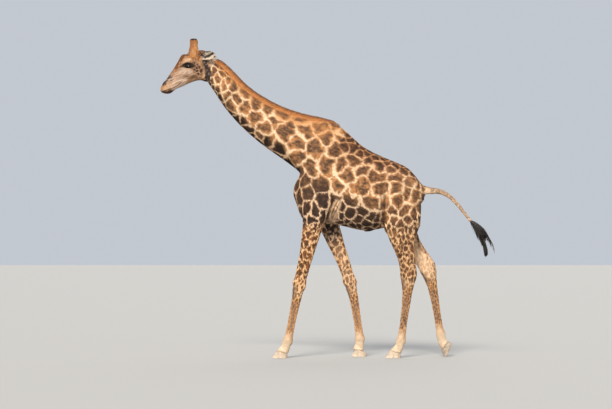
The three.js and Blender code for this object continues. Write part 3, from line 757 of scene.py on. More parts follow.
def lie_of_coat(regions):
    """The way the hairs lie: from the nose back along the body, down the legs, out on the ears."""
    spine = regions.forward.copy()
    spine[:, 2] -= 0.5 * regions.part("trunk") * smoothstep(0.3, 1.2, regions.round)
    lie = mix(spine, smoothstep(0.1, 0.8, regions.leg_weight), regions.leg_forward)
    lie = mix(lie, regions.part("ear"), regions.side[:, None] * (1, 0, 0))
    return unit(regions.surface.spread(square_to(lie, regions.surface.normals), 6))


def coat_depth(regions):
    """How deep the coat is on each part of the body."""
    depth = np.full(len(regions.points), 0.006)
    for mask, value in (
        (regions.part("head", "lower_jaw"), 0.0018),
        (regions.part("ear"), 0.0008),
        (regions.part("tail"), 0.003),
        (regions.leg_part(0.9, 1.9, 0.2), 0.0045),
        (regions.leg_part(1.9, 5), 0.003),
        (regions.leg_part(2.9, 5), 0.0022),
    ):
        depth += mask * (value - depth)
    return depth


# ---------------------------------------------------------------- markings
def ripples(points, size, seed, count=14):
    """Smooth noise of about unit strength, with lumps about size across."""
    waves = np.random.default_rng(seed)
    heading = unit(waves.normal(size=(count, 3)))
    pace = waves.uniform(0.6, 1.6, count) * np.pi / size
    phase = waves.uniform(0, 2 * np.pi, count)
    return np.sin(points @ (heading * pace[:, None]).T + phase).sum(axis=1) / np.sqrt(count / 2)


def colour(text):
    """A hex colour as linear values."""
    values = np.array([int(text[i : i + 2], 16) for i in (1, 3, 5)]) / 255
    return np.where(values <= 0.04045, values / 12.92, ((values + 0.055) / 1.055) ** 2.4)


def mix(base, mask, value):
    """The base where the mask is 0, the value where it is 1."""
    return base + mask[..., None] * (value - base)


def painted(base, *layers):
    """A base colour under layers that are a mask and a colour each."""
    tint = colour(base)
    for mask, text in layers:
        tint = mix(tint, mask, colour(text))
    return tint


LEG_SPACING = (  # stages of a leg and how far apart the patches' middles are there
    ((0, 0.17), (0.5, 0.15), (1, 0.098), (1.4, 0.066), (1.9, 0.05), (2.1, 0.034), (4, 0.03)),
    ((0, 0.14), (0.5, 0.12), (1, 0.085), (1.4, 0.057), (1.9, 0.046), (2.2, 0.034), (4, 0.03)),
)


def patch_spacing(regions):
    """How far apart the middles of the patches are, and half the width of the lines."""
    nape, shoulder, croup = regions.nape, regions.shoulder, regions.croup
    spacing = np.interp(regions.along, *zip(
        (0, 0.028), (nape - 0.12, 0.032), (nape + 0.15, 0.08), (nape + 0.6, 0.145),
        (shoulder - 0.35, 0.19), (shoulder + 0.1, 0.195), (croup - 0.45, 0.158),
        (croup, 0.125), (croup + 0.15, 0.055), (croup + 0.8, 0.05),
    ))
    behind = smoothstep(shoulder + 0.12, shoulder + 0.4, regions.along) * regions.part("trunk")
    top = smoothstep(0.75, 0.3, regions.round) * behind
    under = smoothstep(1.95, 2.5, regions.round) * behind
    throat = smoothstep(2.2, 2.7, regions.round) * regions.part("neck")
    spacing *= (1 - 0.46 * top) * (1 - 0.4 * under) * (1 - 0.3 * throat)
    fore, hind = (np.interp(regions.stage, *zip(*pairs)) for pairs in LEG_SPACING)
    weight = smoothstep(0.1, 0.7, regions.leg_weight)
    spacing += weight * (np.where(regions.hind > 0.5, hind, fore) - spacing)
    ratio = 0.068 - 0.012 * top + 0.01 * under + 0.008 * regions.part("neck") + 0.004 * weight
    ratio += 0.02 * regions.leg_part(1.1, 4, 0.3) * (1 - 0.6 * regions.hind)
    ratio += 0.03 * regions.leg_part(1.9, 4, 0.3)
    return spacing, spacing * ratio


def stretched(points):
    """Heights drawn in on the legs and by the head, so that patches there are tall."""
    levels = [0.0, 1.4, 2.1, 3.0, 3.4, 4.5]
    drawn = [0.0, 0.9, 1.48, 2.38, 2.72, 3.44]
    return np.column_stack([points[:, :2], np.interp(points[:, 2], levels, drawn)])


TRIES_PER_PATCH = 25  # places tried for each patch's middle


def scatter_seeds(places, area, spacing, closeness):
    """Picks places in random order and keeps those far enough from all kept before."""
    order = np.random.default_rng(5).permutation(len(places))
    chance = np.random.default_rng(6).random(len(places))
    order = order[chance[order] < TRIES_PER_PATCH * area[order] / spacing[order] ** 2]
    kept = np.empty((len(order), 3))
    count = 0
    for index in order:
        place = places[index]
        if count:
            gap = kept[:count] - place
            if (np.einsum("ij,ij->i", gap, gap)).min() < (closeness[index] * spacing[index]) ** 2:
                continue
        kept[count] = place
        count += 1
    return kept[:count]


NEIGHBOURS = 9  # how many middles of patches a point's place is compared with


def ripple_vectors(points, size, seed):
    """Smooth noise as a shift in all three directions."""
    return np.stack([ripples(points, size, seed + axis) for axis in range(3)], axis=1)


def patch_edges(regions):
    """Distance in from a patch's edge, negative in the lines, the patch's tone and the spacing."""
    spacing, line = patch_spacing(regions)
    places = stretched(regions.points)
    on_legs = regions.leg_part(0.8, 3, 0.3)
    seeds = scatter_seeds(places, regions.surface.point_areas(), spacing, 0.86 - 0.16 * on_legs)
    tree = KDTree(len(seeds))
    for index, seed in enumerate(seeds):
        tree.insert(seed, index)
    tree.balance()
    warp = ripple_vectors(places, 0.11, 20) * 0.085 + ripple_vectors(places, 0.04, 30) * 0.035
    warp = mix(warp, on_legs, 1.9 * warp + 0.09 * ripple_vectors(places, 0.028, 35))
    places = places + warp * spacing[:, None]
    found = np.array([
        [index for _, index, _ in tree.find_n(place, NEIGHBOURS)] for place in places.tolist()
    ])
    distance = np.linalg.norm(places[:, None] - seeds[found], axis=2)
    own, others = found[:, :1], found[:, 1:]
    between = np.linalg.norm(seeds[own] - seeds[others], axis=2)
    gaps = (distance[:, 1:] ** 2 - distance[:, :1] ** 2) / (2 * between)
    pair = np.minimum(own, others) * 12.9898 + np.maximum(own, others) * 78.233
    chance = np.modf(np.abs(np.sin(pair) * 43758.5453))[0]  # 0 to 1, the same all along a line
    gaps = gaps - line[:, None] * (0.55 + 0.8 * chance)
    soft = 0.02 * spacing[:, None]
    edge = -soft[:, 0] * np.log(np.exp(-np.clip(gaps / soft, -30, 30)).sum(axis=1))
    tones = np.random.default_rng(8).random(len(seeds))
    return edge, tones[found[:, 0]], spacing


def head_spots(regions):
    """How strong the small spots of the face are: behind the eye, on the jaw and the poll."""
    strength = np.zeros(len(regions.points))
    for share, reach, *path in (
        (1.6, 0.085, (0.64, 0.62), (0.74, 0.48)),
        (0.45, 0.08, (0.78, 0.66), (0.86, 0.46)),
        (0.45, 0.06, (0.66, 0.32), (0.84, 0.3)),
        (1.5, 0.09, (0.78, 0.92), (0.95, 0.86)),
    ):
        near = swell(gap_to(regions.points, "head", *path), reach)
        strength = np.maximum(strength, share * near)
    return np.clip(strength, 0, 1) * regions.part("head", "lower_jaw", passes=2)


HEAD_ZONES = (  # how much, how far, the colour, and its path in shares of the head's box
    (0.9, 0.10, "#b9957b", (0.2, 0.3), (0.4, 0.38), (0.5, 0.46)),
    (0.8, 0.05, "#c6ab95", (0.42, 0.5), (0.56, 0.44)),
    (0.8, 0.055, "#a37853", (0.58, 0.33), (0.68, 0.36)),
    (0.9, 0.07, "#d6aa80", (0.74, 0.46), (0.86, 0.4)),
    (0.9, 0.035, "#cdb19b", (0.24, 0.08), (0.34, 0.12), (0.46, 0.18)),
    (1.0, 0.085, "#8f5728", (0.18, 0.5), (0.27, 0.68), (0.34, 0.88), (0.5, 1.0), (0.9, 0.98)),
    (0.8, 0.052, "#6b4122", (0.27, 0.6), (0.35, 0.76), (0.4, 0.9)),
    (0.7, 0.045, "#bb8d67", (0.15, 0.36), (0.22, 0.47)),
    (0.8, 0.027, "#d6b492", (0.5, 0.74), (0.56, 0.77), (0.66, 0.78)),
    (0.8, 0.016, "#e0c6ae", (0.24, 0.2), (0.36, 0.27), (0.48, 0.27)),
    (0.7, 0.02, "#77543c", (0.5, 0.36), (0.58, 0.32), (0.66, 0.36)),
    (0.8, 0.034, "#cba27d", (0.6, 0.84), (0.66, 0.95)),
    (0.9, 0.06, "#b98f68", (0.76, 0.84), (0.78, 0.66)),
    (0.9, 0.07, "#8d6a4f", (0.82, 0.98), (0.92, 0.9)),
    (1.0, 0.054, "#3f3129", (0.035, 0.19), (0.085, 0.28), (0.145, 0.36)),
    (0.7, 0.03, "#6b5040", (0.14, 0.38), (0.2, 0.48)),
    (0.9, 0.035, "#a97b51", (0.0, 0.04), (0.04, 0.12)),
    (0.9, 0.026, "#bf9a78", (0.09, 0.08), (0.14, 0.1)),
    (1.0, 0.026, "#503929", (0.04, -0.02), (0.12, -0.01), (0.2, 0.01)),
)

# behind the jaw, from the ear down
BAND = spots("head", (0.86, 0.7), (0.9, 0.58), (0.92, 0.46), (0.91, 0.34), (0.86, 0.25))


class Colours:
    """Three colours at each point of the skin: of the lines, the patches and their cores."""

    def __init__(self, regions):
        count = len(regions.points)
        self.pale = np.tile(colour("#f2d8b4"), (count, 1))
        self.patch = np.tile(colour("#c48b58"), (count, 1))
        self.core = np.tile(colour("#5a4334"), (count, 1))
        self.strength = np.ones(count)
        self.paint_body(regions)
        self.paint_flank_shade_and_highlight(regions)
        self.paint_tail(regions)
        self.paint_legs(regions)
        self.paint_head(regions)

    def zone(self, mask, pale=None, patch=None, core=None, strength=None):
        """Blends what is given into each colour, or into how strong the markings are."""
        if pale:
            self.pale = mix(self.pale, mask, colour(pale))
        if patch:
            self.patch = mix(self.patch, mask, colour(patch))
        if core:
            self.core = mix(self.core, mask, colour(core))
        if strength is not None:
            self.strength = self.strength + mask * (strength - self.strength)

    def paint_body(self, regions):
        """Darker on the back, paler on the hip, and darker under the throat, chest and belly, which
        is painted shade.
        """
        points, round_ = regions.points, regions.round
        neck, trunk = regions.part("neck"), regions.part("trunk")
        upper = smoothstep(0.95, 0.25, round_ + 0.12 * ripples(points, 0.12, 41))
        crest = smoothstep(0.35, -0.1, regions.along - regions.shoulder)
        self.zone(upper * crest * (neck + trunk), "#d9a068", "#bb814c", "#75533e")
        # painted shade: lines and patches darker under the throat
        throat = smoothstep(2.15, 2.75, round_ + 0.12 * ripples(points, 0.12, 42))
        self.zone(throat * neck, "#c8a480", "#46301f", "#1f1713")
        behind = smoothstep(0.1, 0.45, regions.along - regions.shoulder) * trunk
        ridge = smoothstep(0.95, 0.3, round_ + 0.1 * ripples(points, 0.1, 43))
        self.zone(ridge * behind, "#cc9460", "#70482f", "#3a281f")
        self.zone(0.5 * smoothstep(1.3, 1.0, round_) * behind, "#e0b283", "#8c5a37", "#463025")
        # painted shade: lines and patches darker under the belly
        self.zone(smoothstep(1.7, 2.3, round_) * behind, "#e6c4a0", "#5e4331", "#35271f")
        # painted shade: lines and patches darker under the chest
        chest = smoothstep(1.6, 2.4, round_) * trunk * (1 - behind)
        self.zone(chest, "#d9b28c", "#65452f", "#35271f")
        hip = gap_to(points, "trunk", (0.8, 0.62), (0.92, 0.5)) + 0.03 * ripples(points, 0.12, 50)
        hip = swell(hip, 0.3) * smoothstep(0.35, 0.9, round_)
        self.zone(0.8 * hip * behind, "#f6dcb9", "#c4905f", "#83604a")
        self.paint_armpits(regions)

    def paint_flank_shade_and_highlight(self, regions):
        """The dark crease in front of each thigh, painted as shade, and the pale edge behind it,
        painted as a highlight where the thigh catches the light.
        """
        uneven = 0.004 * ripples(regions.points, 0.04, 46)
        for share, along, reach, tones in (
            # painted shade in the crease before the thigh
            (0.65, 0.681, 0.024, ("#6b5040", "#3c2b22", "#2a1f19")),
            # painted highlight on the thigh's edge, where it catches the light
            (0.7, 0.702, 0.028, ("#f0c897", "#c08a58", "#8f6748")),
        ):
            path = ((along, 0.37), (along - 0.004, 0.2), (along, 0.05))
            gap = gap_to(regions.points, "trunk", *path) + uneven
            self.zone(share * smoothstep(reach, 0.4 * reach, gap) * regions.part("trunk"), *tones)

    def paint_tail(self, regions):
        """Faint markings on the tail, and the back's brown that runs out along its top."""
        tail = regions.part("tail")
        self.zone(tail, "#e6c8a8", "#a67c58", "#7b5f4a", 0.6)
        root = smoothstep(0.3, 0.0, regions.along - regions.croup) * tail
        top = 0.7 * smoothstep(0.9, 0.4, regions.round)
        self.zone(top * root, "#a0693d", "#7a5033", "#5c3f2c")

    def paint_armpits(self, regions):
        """Thin-haired, pinkish skin behind the elbows, with painted shade darkening its folds."""
        points = regions.points
        for side, sign in SIDES.items():
            fold = elbow_fold(side)
            own = (regions.side == sign) * regions.part("trunk")
            behind = [place + (0.05, -0.03) for place in fold]
            gap = path_distance(points, behind) + 0.014 * ripples(points, 0.05, 44)
            bare = smoothstep(0.068, 0.03, gap) * own
            self.zone(0.95 * bare, "#f3d2ae", "#bd946f", "#8a694f", 0.5)
            speckles = ripples(points, 0.017, 47) + 0.5 * ripples(points, 0.05, 48)
            self.zone(0.75 * smoothstep(0.2, 0.9, speckles) * bare, "#5f4535", strength=0.3)
            # painted shade along the folds behind the elbow
            folds = path_distance(points, fold) + 0.005 * ripples(points, 0.03, 45)
            for step in (0.045, 0.085):
                loose = [place + (step, -0.01) for place in fold]
                folds = np.minimum(folds, path_distance(points, loose) + 0.011)
            self.zone(0.75 * smoothstep(0.02, 0.008, folds) * own, "#6d4f3c", strength=0.3)

    def paint_legs(self, regions):
        """Each row is where on the legs, from stage to stage with its softness, then the tones."""
        hind = regions.hind
        turn = regions.leg_turn / np.pi
        from_outer = np.abs(turn)
        inner = smoothstep(0.5, 0.85, from_outer + 0.05 * ripples(regions.points, 0.05, 49))
        front = smoothstep(0.45, 0.15, np.abs(turn + 0.5))
        back = smoothstep(0.4, 0.2, np.abs(turn - 0.5))
        streak = 0.75 * smoothstep(0.3, 0.1, np.minimum(from_outer, 1 - from_outer))
        for mask, stages, *tones in (
            (0.6 * hind, (-1, 1.15, 0.3), "#eecb9f", "#a37048", "#573f31"),
            (1 - hind, (1.0, 2.0, 0.2), "#efc594", "#9a6234", "#503829"),
            (hind, (1.0, 2.0, 0.2), "#e8bd8c", "#90603a", "#503a2d"),
            (inner, (0.6, 2.0, 0.25), "#efc9a0", None, None, 0.8),
            # pale inner hind leg: its own pale hair, made brighter as painted light where the body
            # shades it
            (inner * hind, (0.7, 2.0, 0.4), "#fbdcb8", "#cf9f72", "#a9825f", 0.5),
            # painted shade: the inner side of the upper fore leg darker, as in the body's shadow
            (inner * (1 - hind), (0.6, 1.2, 0.15), "#c9a88c", "#4a372c", "#292019", 1.0),
            (1, (2.05, 3.0, 0.12), "#e0ab72", "#84593a", "#5b4334", 0.6),
            (hind, (2.05, 3.0, 0.12), None, None, None, 0.95),
            (1, (2.05, 2.4, 0.12), None, None, None, 0.95),
            (streak, (2.25, 2.9, 0.12), "#a07c62", "#7d6250", "#5f4c40"),
            (front, (1.9, 2.12, 0.06), "#8f6f55", "#60493a", "#483a31", 0.6),
            (1, (2.98, 5, 0.14), "#d2b291", None, None, 0.05),
            (1, (3.2, 5, 0.3), "#dec6a9"),
            (0.7 * back, (2.95, 3.2, 0.1), "#b98a5c"),
        ):
            self.zone(mask * regions.leg_part(*stages), *tones)

    def paint_head(self, regions):
        """Orange forehead, greyish streaked cheeks with painted shade and highlight in their
        streaks, dark lips with painted shade in the mouth's crease and the nostrils, and the band
        behind the jaw.
        """
        points = regions.points
        head = regions.part("head", "lower_jaw", passes=3)
        self.zone(head, "#b78f6d", "#6a4736", "#3d2b23", 0.0)
        self.strength = np.maximum(self.strength, head_spots(regions))
        uneven = 0.14 * (ripples(points, 0.03, 65) + ripples(points, 0.012, 67))
        for share, reach, tone, *path in HEAD_ZONES:
            gap = gap_to(points, "head", *path) + reach * uneven
            self.zone(share * smoothstep(reach * 1.3, reach * 0.4, gap) * head, tone)
        self.paint_horn_feet(points, head)
        slanted = np.column_stack([points @ (0, 0.19, 0.07), points @ (0, -0.35, 0.94)])
        streaks = ripples(np.column_stack([points[:, 0] * 0.3, slanted]), 0.013, 61)
        cheek = 0.5 * swell(gap_to(points, "head", (0.2, 0.28), (0.6, 0.42)), 0.14) * head
        # painted shade and painted highlight in streaks, as on fine ridges across the cheek
        self.zone(smoothstep(0.2, 1.4, streaks) * cheek, "#7c6656")
        self.zone(smoothstep(-0.2, -1.4, streaks) * cheek, "#d8c0aa")
        self.paint_eye(regions)
        front, back = (spot("head", along, 0)[0] for along in (0.1, 0.42))
        fade = 0.55 + 0.45 * smoothstep(back, front, points[:, 1])
        # dark lip skin along the mouth, with painted shade in its crease
        lips = swell(path_distance(points, MOUTH), 0.007)
        self.zone(lips * head * fade, "#33261f", strength=0.0)
        lateral = smoothstep(0.01, 0.02, np.abs(points[:, 0]))
        # painted shade inside the nostril slits
        slit = swell(path_distance(points, NOSTRIL), 0.014)
        self.zone(slit * lateral * head, "#2b211d", strength=0.0)
        self.paint_throatlatch(regions)
        self.paint_ears(regions)

    def paint_horn_feet(self, points, head):
        """Orange hair with darker streaks at the foot of each horn, and a dark place before it."""
        foot = horn_gap(points) + 0.006 * ripples(points * (1, 1, 0.3), 0.014, 68)
        self.zone(0.9 * smoothstep(0.042, 0.006, foot) * head, "#ab7341")
        streaks = smoothstep(0.1, 1.0, ripples(points * (1, 1, 0.15), 0.014, 69))
        self.zone(0.6 * smoothstep(0.055, 0.015, foot) * streaks * head, "#774a2a")
        ahead = gap_to(points, "head", (0.42, 0.95), (0.49, 0.88))
        ahead = ahead + 0.012 * ripples(points, 0.02, 70)
        self.zone(0.8 * smoothstep(0.034, 0.014, ahead) * head, "#5b3a26")

    def paint_throatlatch(self, regions):
        """The black band behind the jaw, with grey mottling in places that is a painted sheen, and
        the pale hair behind the ear.
        """
        points = regions.points
        band = path_distance(points, BAND) + 0.01 * ripples(points, 0.035, 62)
        band = smoothstep(0.044, 0.026, band) * regions.part("head", "lower_jaw", "neck")
        self.zone(0.95 * band, "#2d231e", "#241c18", "#191412")
        # painted sheen: grey mottling on the black band
        self.zone(0.6 * band * smoothstep(0.4, 1.2, ripples(points, 0.02, 64)), "#8d817b")
        pale = gap_to(points, "head", (0.93, 0.79), (1.0, 0.64))
        pale = smoothstep(0.034, 0.012, pale + 0.006 * ripples(points, 0.03, 74))
        pale = pale * smoothstep(0.045, 0.07, np.abs(points[:, 0]))
        self.zone(0.85 * pale * regions.part("head", "neck"), "#ecd3b8", strength=0.15)

    def paint_eye(self, regions):
        """Bare dark skin round each eye, with painted shade drawn out in front of it towards the
        forehead and a little behind it, and a painted highlight on the upper lid.
        """
        back, up, far = eye_plane(regions.points)
        close = far < 0.12
        dark = np.hypot((back - 0.002) / 0.084, (up - 0.1 * back) / 0.036)
        self.zone(smoothstep(1.15, 0.8, dark) * close, "#241b17", strength=0.0)
        # painted shade in the groove before the eye
        front = np.hypot((back + 0.08) / 0.045, (up - 0.002) / 0.016)
        self.zone(0.85 * smoothstep(1.2, 0.5, front) * close, "#3f2e25")
        # painted shade behind the eye
        rear = np.hypot((back - 0.062) / 0.03, up / 0.012)
        self.zone(0.7 * smoothstep(1.2, 0.6, rear) * close, "#4b382c")
        # painted highlight along the upper lid
        lid_highlight = np.hypot((back + 0.03) / 0.05, (up - 0.042) / 0.01)
        self.zone(0.5 * smoothstep(1.3, 0.6, lid_highlight) * close, "#d9bb99")

    def paint_ears(self, regions):
        """White ears with a black streak, brown and mottled at their roots."""
        points = regions.points
        ear = regions.part("ear", passes=1)
        self.zone(ear, "#ddcbb6", strength=0.0)
        uneven = 0.005 * ripples(points, 0.015, 63)
        for share, reach, tone, *path in (
            (1.0, 0.06, "#9c7f69", (0.0, 0.2), (0.1, 0.7)),
            (0.95, 0.024, "#2a211d", (0.34, 0.3), (0.6, 0.5), (0.85, 0.72)),
            (0.8, 0.014, "#3a2f29", (0.45, 0.97), (0.8, 0.95)),
            (0.7, 0.03, "#9b8b80", (0.95, 0.9), (1.0, 0.95)),
        ):
            gap = gap_to(points, "ear_left", *path) + uneven
            self.zone(share * smoothstep(reach, 0.4 * reach, gap) * ear, tone)
        root = smoothstep(0.065, 0.035, gap_to(points, "ear_left", (0.0, 0.2), (0.15, 0.8)))
        self.zone(0.9 * smoothstep(0.0, 0.6, ripples(points, 0.014, 66)) * root * ear, "#382b24")


def marking_values(regions):
    """How far into a patch each point lies, from 0 in a line to 1, and how dark its core is."""
    edge, tone, spacing = patch_edges(regions)
    regions.spacing = spacing
    points = regions.points
    cloud = 0.26 * ripples(points, 0.055, 51) + 0.2 * ripples(points, 0.02, 52)
    full = 0.2 - 0.1 * regions.leg_part(0.7, 4, 0.3)
    depth = smoothstep(0.03, full, edge / spacing)
    core = smoothstep(0.1, 0.8, depth * (0.66 + 0.42 * tone) + cloud * depth)
    return edge, core


def give_colour(mesh, name, values):
    layer = mesh.color_attributes.new(name, "FLOAT_COLOR", "POINT")
    rgba = np.ones((len(mesh.vertices), 4), np.float32)
    rgba[:, :3] = values
    layer.data.foreach_set("color", rgba.ravel())


def give_vector(mesh, name, values):
    layer = mesh.attributes.new(name, "FLOAT_VECTOR", "POINT")
    layer.data.foreach_set("vector", values.astype(np.float32).ravel())


# ---------------------------------------------------------------- materials
class Shader:
    """A small helper to build one material from nodes."""

    def __init__(self, name, roughness):
        self.material = bpy.data.materials.new(name)
        self.material.use_nodes = True
        self.tree = self.material.node_tree
        self.principled = self.tree.nodes["Principled BSDF"]
        self.set(Roughness=roughness)

    def put(self, socket, value):
        """Links another node's output to a socket, or gives the socket a fixed value."""
        if isinstance(value, bpy.types.NodeSocket):
            self.tree.links.new(value, socket)
        else:
            socket.default_value = value

    def set(self, **values):
        """Values or links for the shader's own sockets, with _ for a space in their names."""
        for name, value in values.items():
            self.put(self.principled.inputs[name.replace("_", " ")], value)

    def node(self, kind, inputs, **settings):
        """Adds a node with values or links on its inputs."""
        node = self.tree.nodes.new(kind)
        for key, value in settings.items():
            setattr(node, key, value)
        for key, value in inputs.items():
            self.put(node.inputs[key], value)
        return node

    def attribute(self, name, output="Color"):
        return self.node("ShaderNodeAttribute", {}, attribute_name=name).outputs[output]

    def noise(self, scales, detail, vector=None):
        """Noise at its own scale along x, y and z, or along the three parts of a vector."""
        if vector is None:
            vector = self.node("ShaderNodeTexCoord", {}).outputs["Object"]
        scaled = self.node("ShaderNodeVectorMath", {0: vector, 1: scales}, operation="MULTIPLY")
        inputs = {"Vector": scaled.outputs[0], "Scale": 1.0, "Detail": detail}
        return self.node("ShaderNodeTexNoise", inputs).outputs["Fac"]

    def math(self, operation, a, b):
        return self.node("ShaderNodeMath", {0: a, 1: b}, operation=operation).outputs[0]

    def spread(self, value, low, high, to_low=0.0, to_high=1.0):
        """A smooth step between to_low, where the value is low, and to_high, where it is high."""
        inputs = dict(enumerate((value, low, high, to_low, to_high)))
        return self.node("ShaderNodeMapRange", inputs, interpolation_type="SMOOTHSTEP").outputs[0]

    def blend(self, share, a, b, kind="MIX"):
        inputs = {0: share, 6: a, 7: b}
        return self.node("ShaderNodeMix", inputs, data_type="RGBA", blend_type=kind).outputs[2]

    def varied(self, tint, grain, low, high, dark, light):
        """A colour made darker where the grain is low and lighter where it is high."""
        return self.blend(1.0, tint, self.spread(grain, low, high, dark, light), "MULTIPLY")

    def bump(self, height, strength, distance):
        inputs = {"Height": height, "Strength": strength, "Distance": distance}
        self.set(Normal=self.node("ShaderNodeBump", inputs).outputs["Normal"])


def skin_material():
    """The markings, ragged at their edges and smoky in their cores along the lie of the hair."""
    shader = Shader("short coat on skin", 0.75)
    marks = shader.node("ShaderNodeSeparateXYZ", {0: shader.attribute("Marks", "Vector")})
    edge, core, strength = marks.outputs
    flow = shader.attribute("Flow", "Vector")
    ragged = shader.math("SUBTRACT", shader.noise((60, 160, 60), 3.0, flow), 0.5)
    shifted = shader.math("ADD", edge, shader.math("MULTIPLY", ragged, 0.016))
    inside = shader.math("MULTIPLY", shader.spread(shifted, -0.0025, 0.0035), strength)
    smoky = shader.spread(shader.noise((28, 70, 28), 4.0, flow), 0.3, 0.65, 0.35, 1.25)
    dark = shader.math("MULTIPLY", core, smoky)
    patch = shader.blend(dark, shader.attribute("Patch"), shader.attribute("Core"))
    tint = shader.blend(inside, shader.attribute("Pale"), patch)
    hairs = shader.noise((90, 900, 90), 2.0, flow)
    tint = shader.varied(tint, hairs, 0.25, 0.75, 0.78, 1.12)
    shader.set(Base_Color=tint, Specular_IOR_Level=0.25)
    shader.bump(hairs, 0.5, 0.002)
    return shader.material


def tinted_shader(name, roughness, scales, detail, shades, bump=None):
    """A finish in the mesh's own Tint, varied by a grain of noise that is raised as well.

    Shades are the grain's range and how dark and light it makes the tint; bump is the
    strength and the depth of the relief."""
    shader = Shader(name, roughness)
    grain = shader.noise(scales, detail)
    shader.tint = shader.varied(shader.attribute("Tint"), grain, *shades)
    shader.set(Base_Color=shader.tint)
    if bump:
        shader.bump(grain, *bump)
    return shader


def make_materials():
    """The finishes of all pieces; on the hooves lies pale, dull dust."""
    fine, lines, rings, hair = (420, 420, 420), (220, 220, 22), (24, 24, 240), (260, 260, 260)
    tufts = tinted_shader("coat tufts", 0.65, fine, 2.0, (0.25, 0.75, 0.86, 1.1), (0.35, 0.001))
    tufts.set(Specular_IOR_Level=0.25)
    horn = tinted_shader("horn skin", 0.7, lines, 3.0, (0.3, 0.7, 0.65, 1.15), (0.6, 0.0015))
    hoof = tinted_shader("hoof horn", 0.6, rings, 3.0, (0.3, 0.7, 0.72, 1.12), (0.55, 0.0018))
    dust = hoof.noise((34, 34, 34), 4.0)
    dusty = hoof.blend(hoof.spread(dust, 0.25, 0.8, 0.15, 0.6), hoof.tint, (*colour("#dac5ab"), 1))
    hoof.set(Base_Color=dusty, Roughness=hoof.spread(dust, 0.35, 0.65, 0.5, 0.85))
    eye = tinted_shader("eye", 0.06, (900, 900, 900), 2.0, (0.3, 0.7, 0.7, 1.2))
    eye.set(Specular_IOR_Level=0.7, Coat_Weight=1.0, Coat_Roughness=0.03, IOR=1.38)
    long_hair = hair, 3.0, (0.3, 0.7, 0.75, 1.2), (0.4, 0.001)
    return {
        "skin": skin_material(),
        "tufts": tufts.material,
        "horn": horn.material,
        "hoof": hoof.material,
        "eye": eye.material,
        "long": tinted_shader("black hair", 0.5, *long_hair).material,
        "mane": tinted_shader("mane hair", 0.6, *long_hair).material,
    }


def unwrap(piece):
    """Lays the whole surface out flat in a map of its own, for the colours to be baked in."""
    piece.data.uv_layers.new(name="OFBake")
    for other in bpy.context.selected_objects:
        other.select_set(False)
    bpy.context.view_layer.objects.active = piece
    piece.select_set(True)
    bpy.ops.object.mode_set(mode="EDIT")
    bpy.ops.mesh.select_all(action="SELECT")
    bpy.ops.uv.smart_project(angle_limit=math.radians(66), island_margin=0.002)
    bpy.ops.object.mode_set(mode="OBJECT")


def finish_piece(mesh, name, material, replaces=()):
    """Turns a mesh into a piece that rides on the animal's one body."""
    mesh.polygons.foreach_set("use_smooth", np.ones(len(mesh.polygons), bool))
    mesh.materials.append(material)
    piece = add_object(mesh, name)
    if not mesh.uv_layers:
        unwrap(piece)
    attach(piece, "root")
    if replaces:
        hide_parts(*replaces)
    return piece


# ---------------------------------------------------------------- tufts and locks
BAKE_PATCH = 0.003  # how wide each tuft's patch is on the unwrap


def lock_faces(rings):
    """The triangles of one lock: a root point, three corners to each ring and a tip point."""
    tip = rings * 3 + 1
    faces = []
    for corner in range(3):
        following = (corner + 1) % 3
        faces.append((0, 1 + following, 1 + corner))
        for ring in range(rings - 1):
            a, b = 1 + ring * 3 + corner, 1 + ring * 3 + following
            faces += [(a, b, b + 3), (a, b + 3, a + 3)]
        faces.append((tip - 3 + corner, tip - 3 + following, tip))
    return np.array(faces)


def strand_mesh(name, paths, sides, ups, widths, tints, places):
    """Closed three-sided tapered locks, one for each path, joined in one mesh.

    paths is (count, rings + 2, 3): a root point, the rings' middles and a tip point.
    places are the corners of the locks' own patches on the unwrap."""
    count, rings = len(paths), paths.shape[1] - 2
    share = np.arange(1, rings + 1) / (rings + 1)
    profile = np.ones(rings) if rings == 1 else 0.45 + 0.9 * np.sqrt(share) * (1 - share) ** 0.6
    size = (widths[:, None] * profile)[:, :, None]
    middle, sides, ups = paths[:, 1:-1], sides[:, None] * size, ups[:, None] * size
    low = middle - 0.14 * ups
    corners = np.stack([low - 0.5 * sides, low + 0.5 * sides, middle + 0.24 * ups], axis=2)
    body = corners.reshape(count, rings * 3, 3)
    verts = np.concatenate([paths[:, :1], body, paths[:, -1:]], axis=1)
    faces = lock_faces(rings) + verts.shape[1] * np.arange(count)[:, None, None]
    faces = faces.reshape(-1, 3)
    mesh = mesh_from(name, verts.reshape(-1, 3), faces)
    # painted shade at each lock's root, lighter towards the tip as a painted highlight
    root_shade_tip_highlight = np.concatenate([[0.8], np.repeat(0.9 + 0.18 * share, 3), [1.12]])
    give_colour(mesh, "Tint", (tints[:, None] * root_shade_tip_highlight[:, None]).reshape(-1, 3))
    across = np.concatenate([[0.5], np.tile([0, 1, 0.5], rings), [0.5]])
    along = np.concatenate([[0], np.repeat(share, 3), [1]])
    patch = np.column_stack([across, along]) * BAKE_PATCH
    unwrapped = (places[:, None] + patch).reshape(-1, 2)[faces.ravel()]
    layer = mesh.uv_layers.new(name="OFBake")
    layer.data.foreach_set("uv", unwrapped.astype(np.float32).ravel())
    return mesh


def bake_places(along, around):
    """An even unwrap of the surface: rows by the place along, columns by the angle round."""
    count = len(along)
    rows = int(np.ceil(np.sqrt(count)))
    places = np.empty((count, 2))
    order = np.argsort(along, kind="stable")
    for row in range(rows):
        band = order[row * rows : (row + 1) * rows]
        band = band[np.argsort(around[band], kind="stable")]
        places[band, 0] = (np.arange(len(band)) + 0.5) / rows
        places[band, 1] = (row + 0.5) / rows
    return places * (1 - 2 * BAKE_PATCH) + BAKE_PATCH / 2


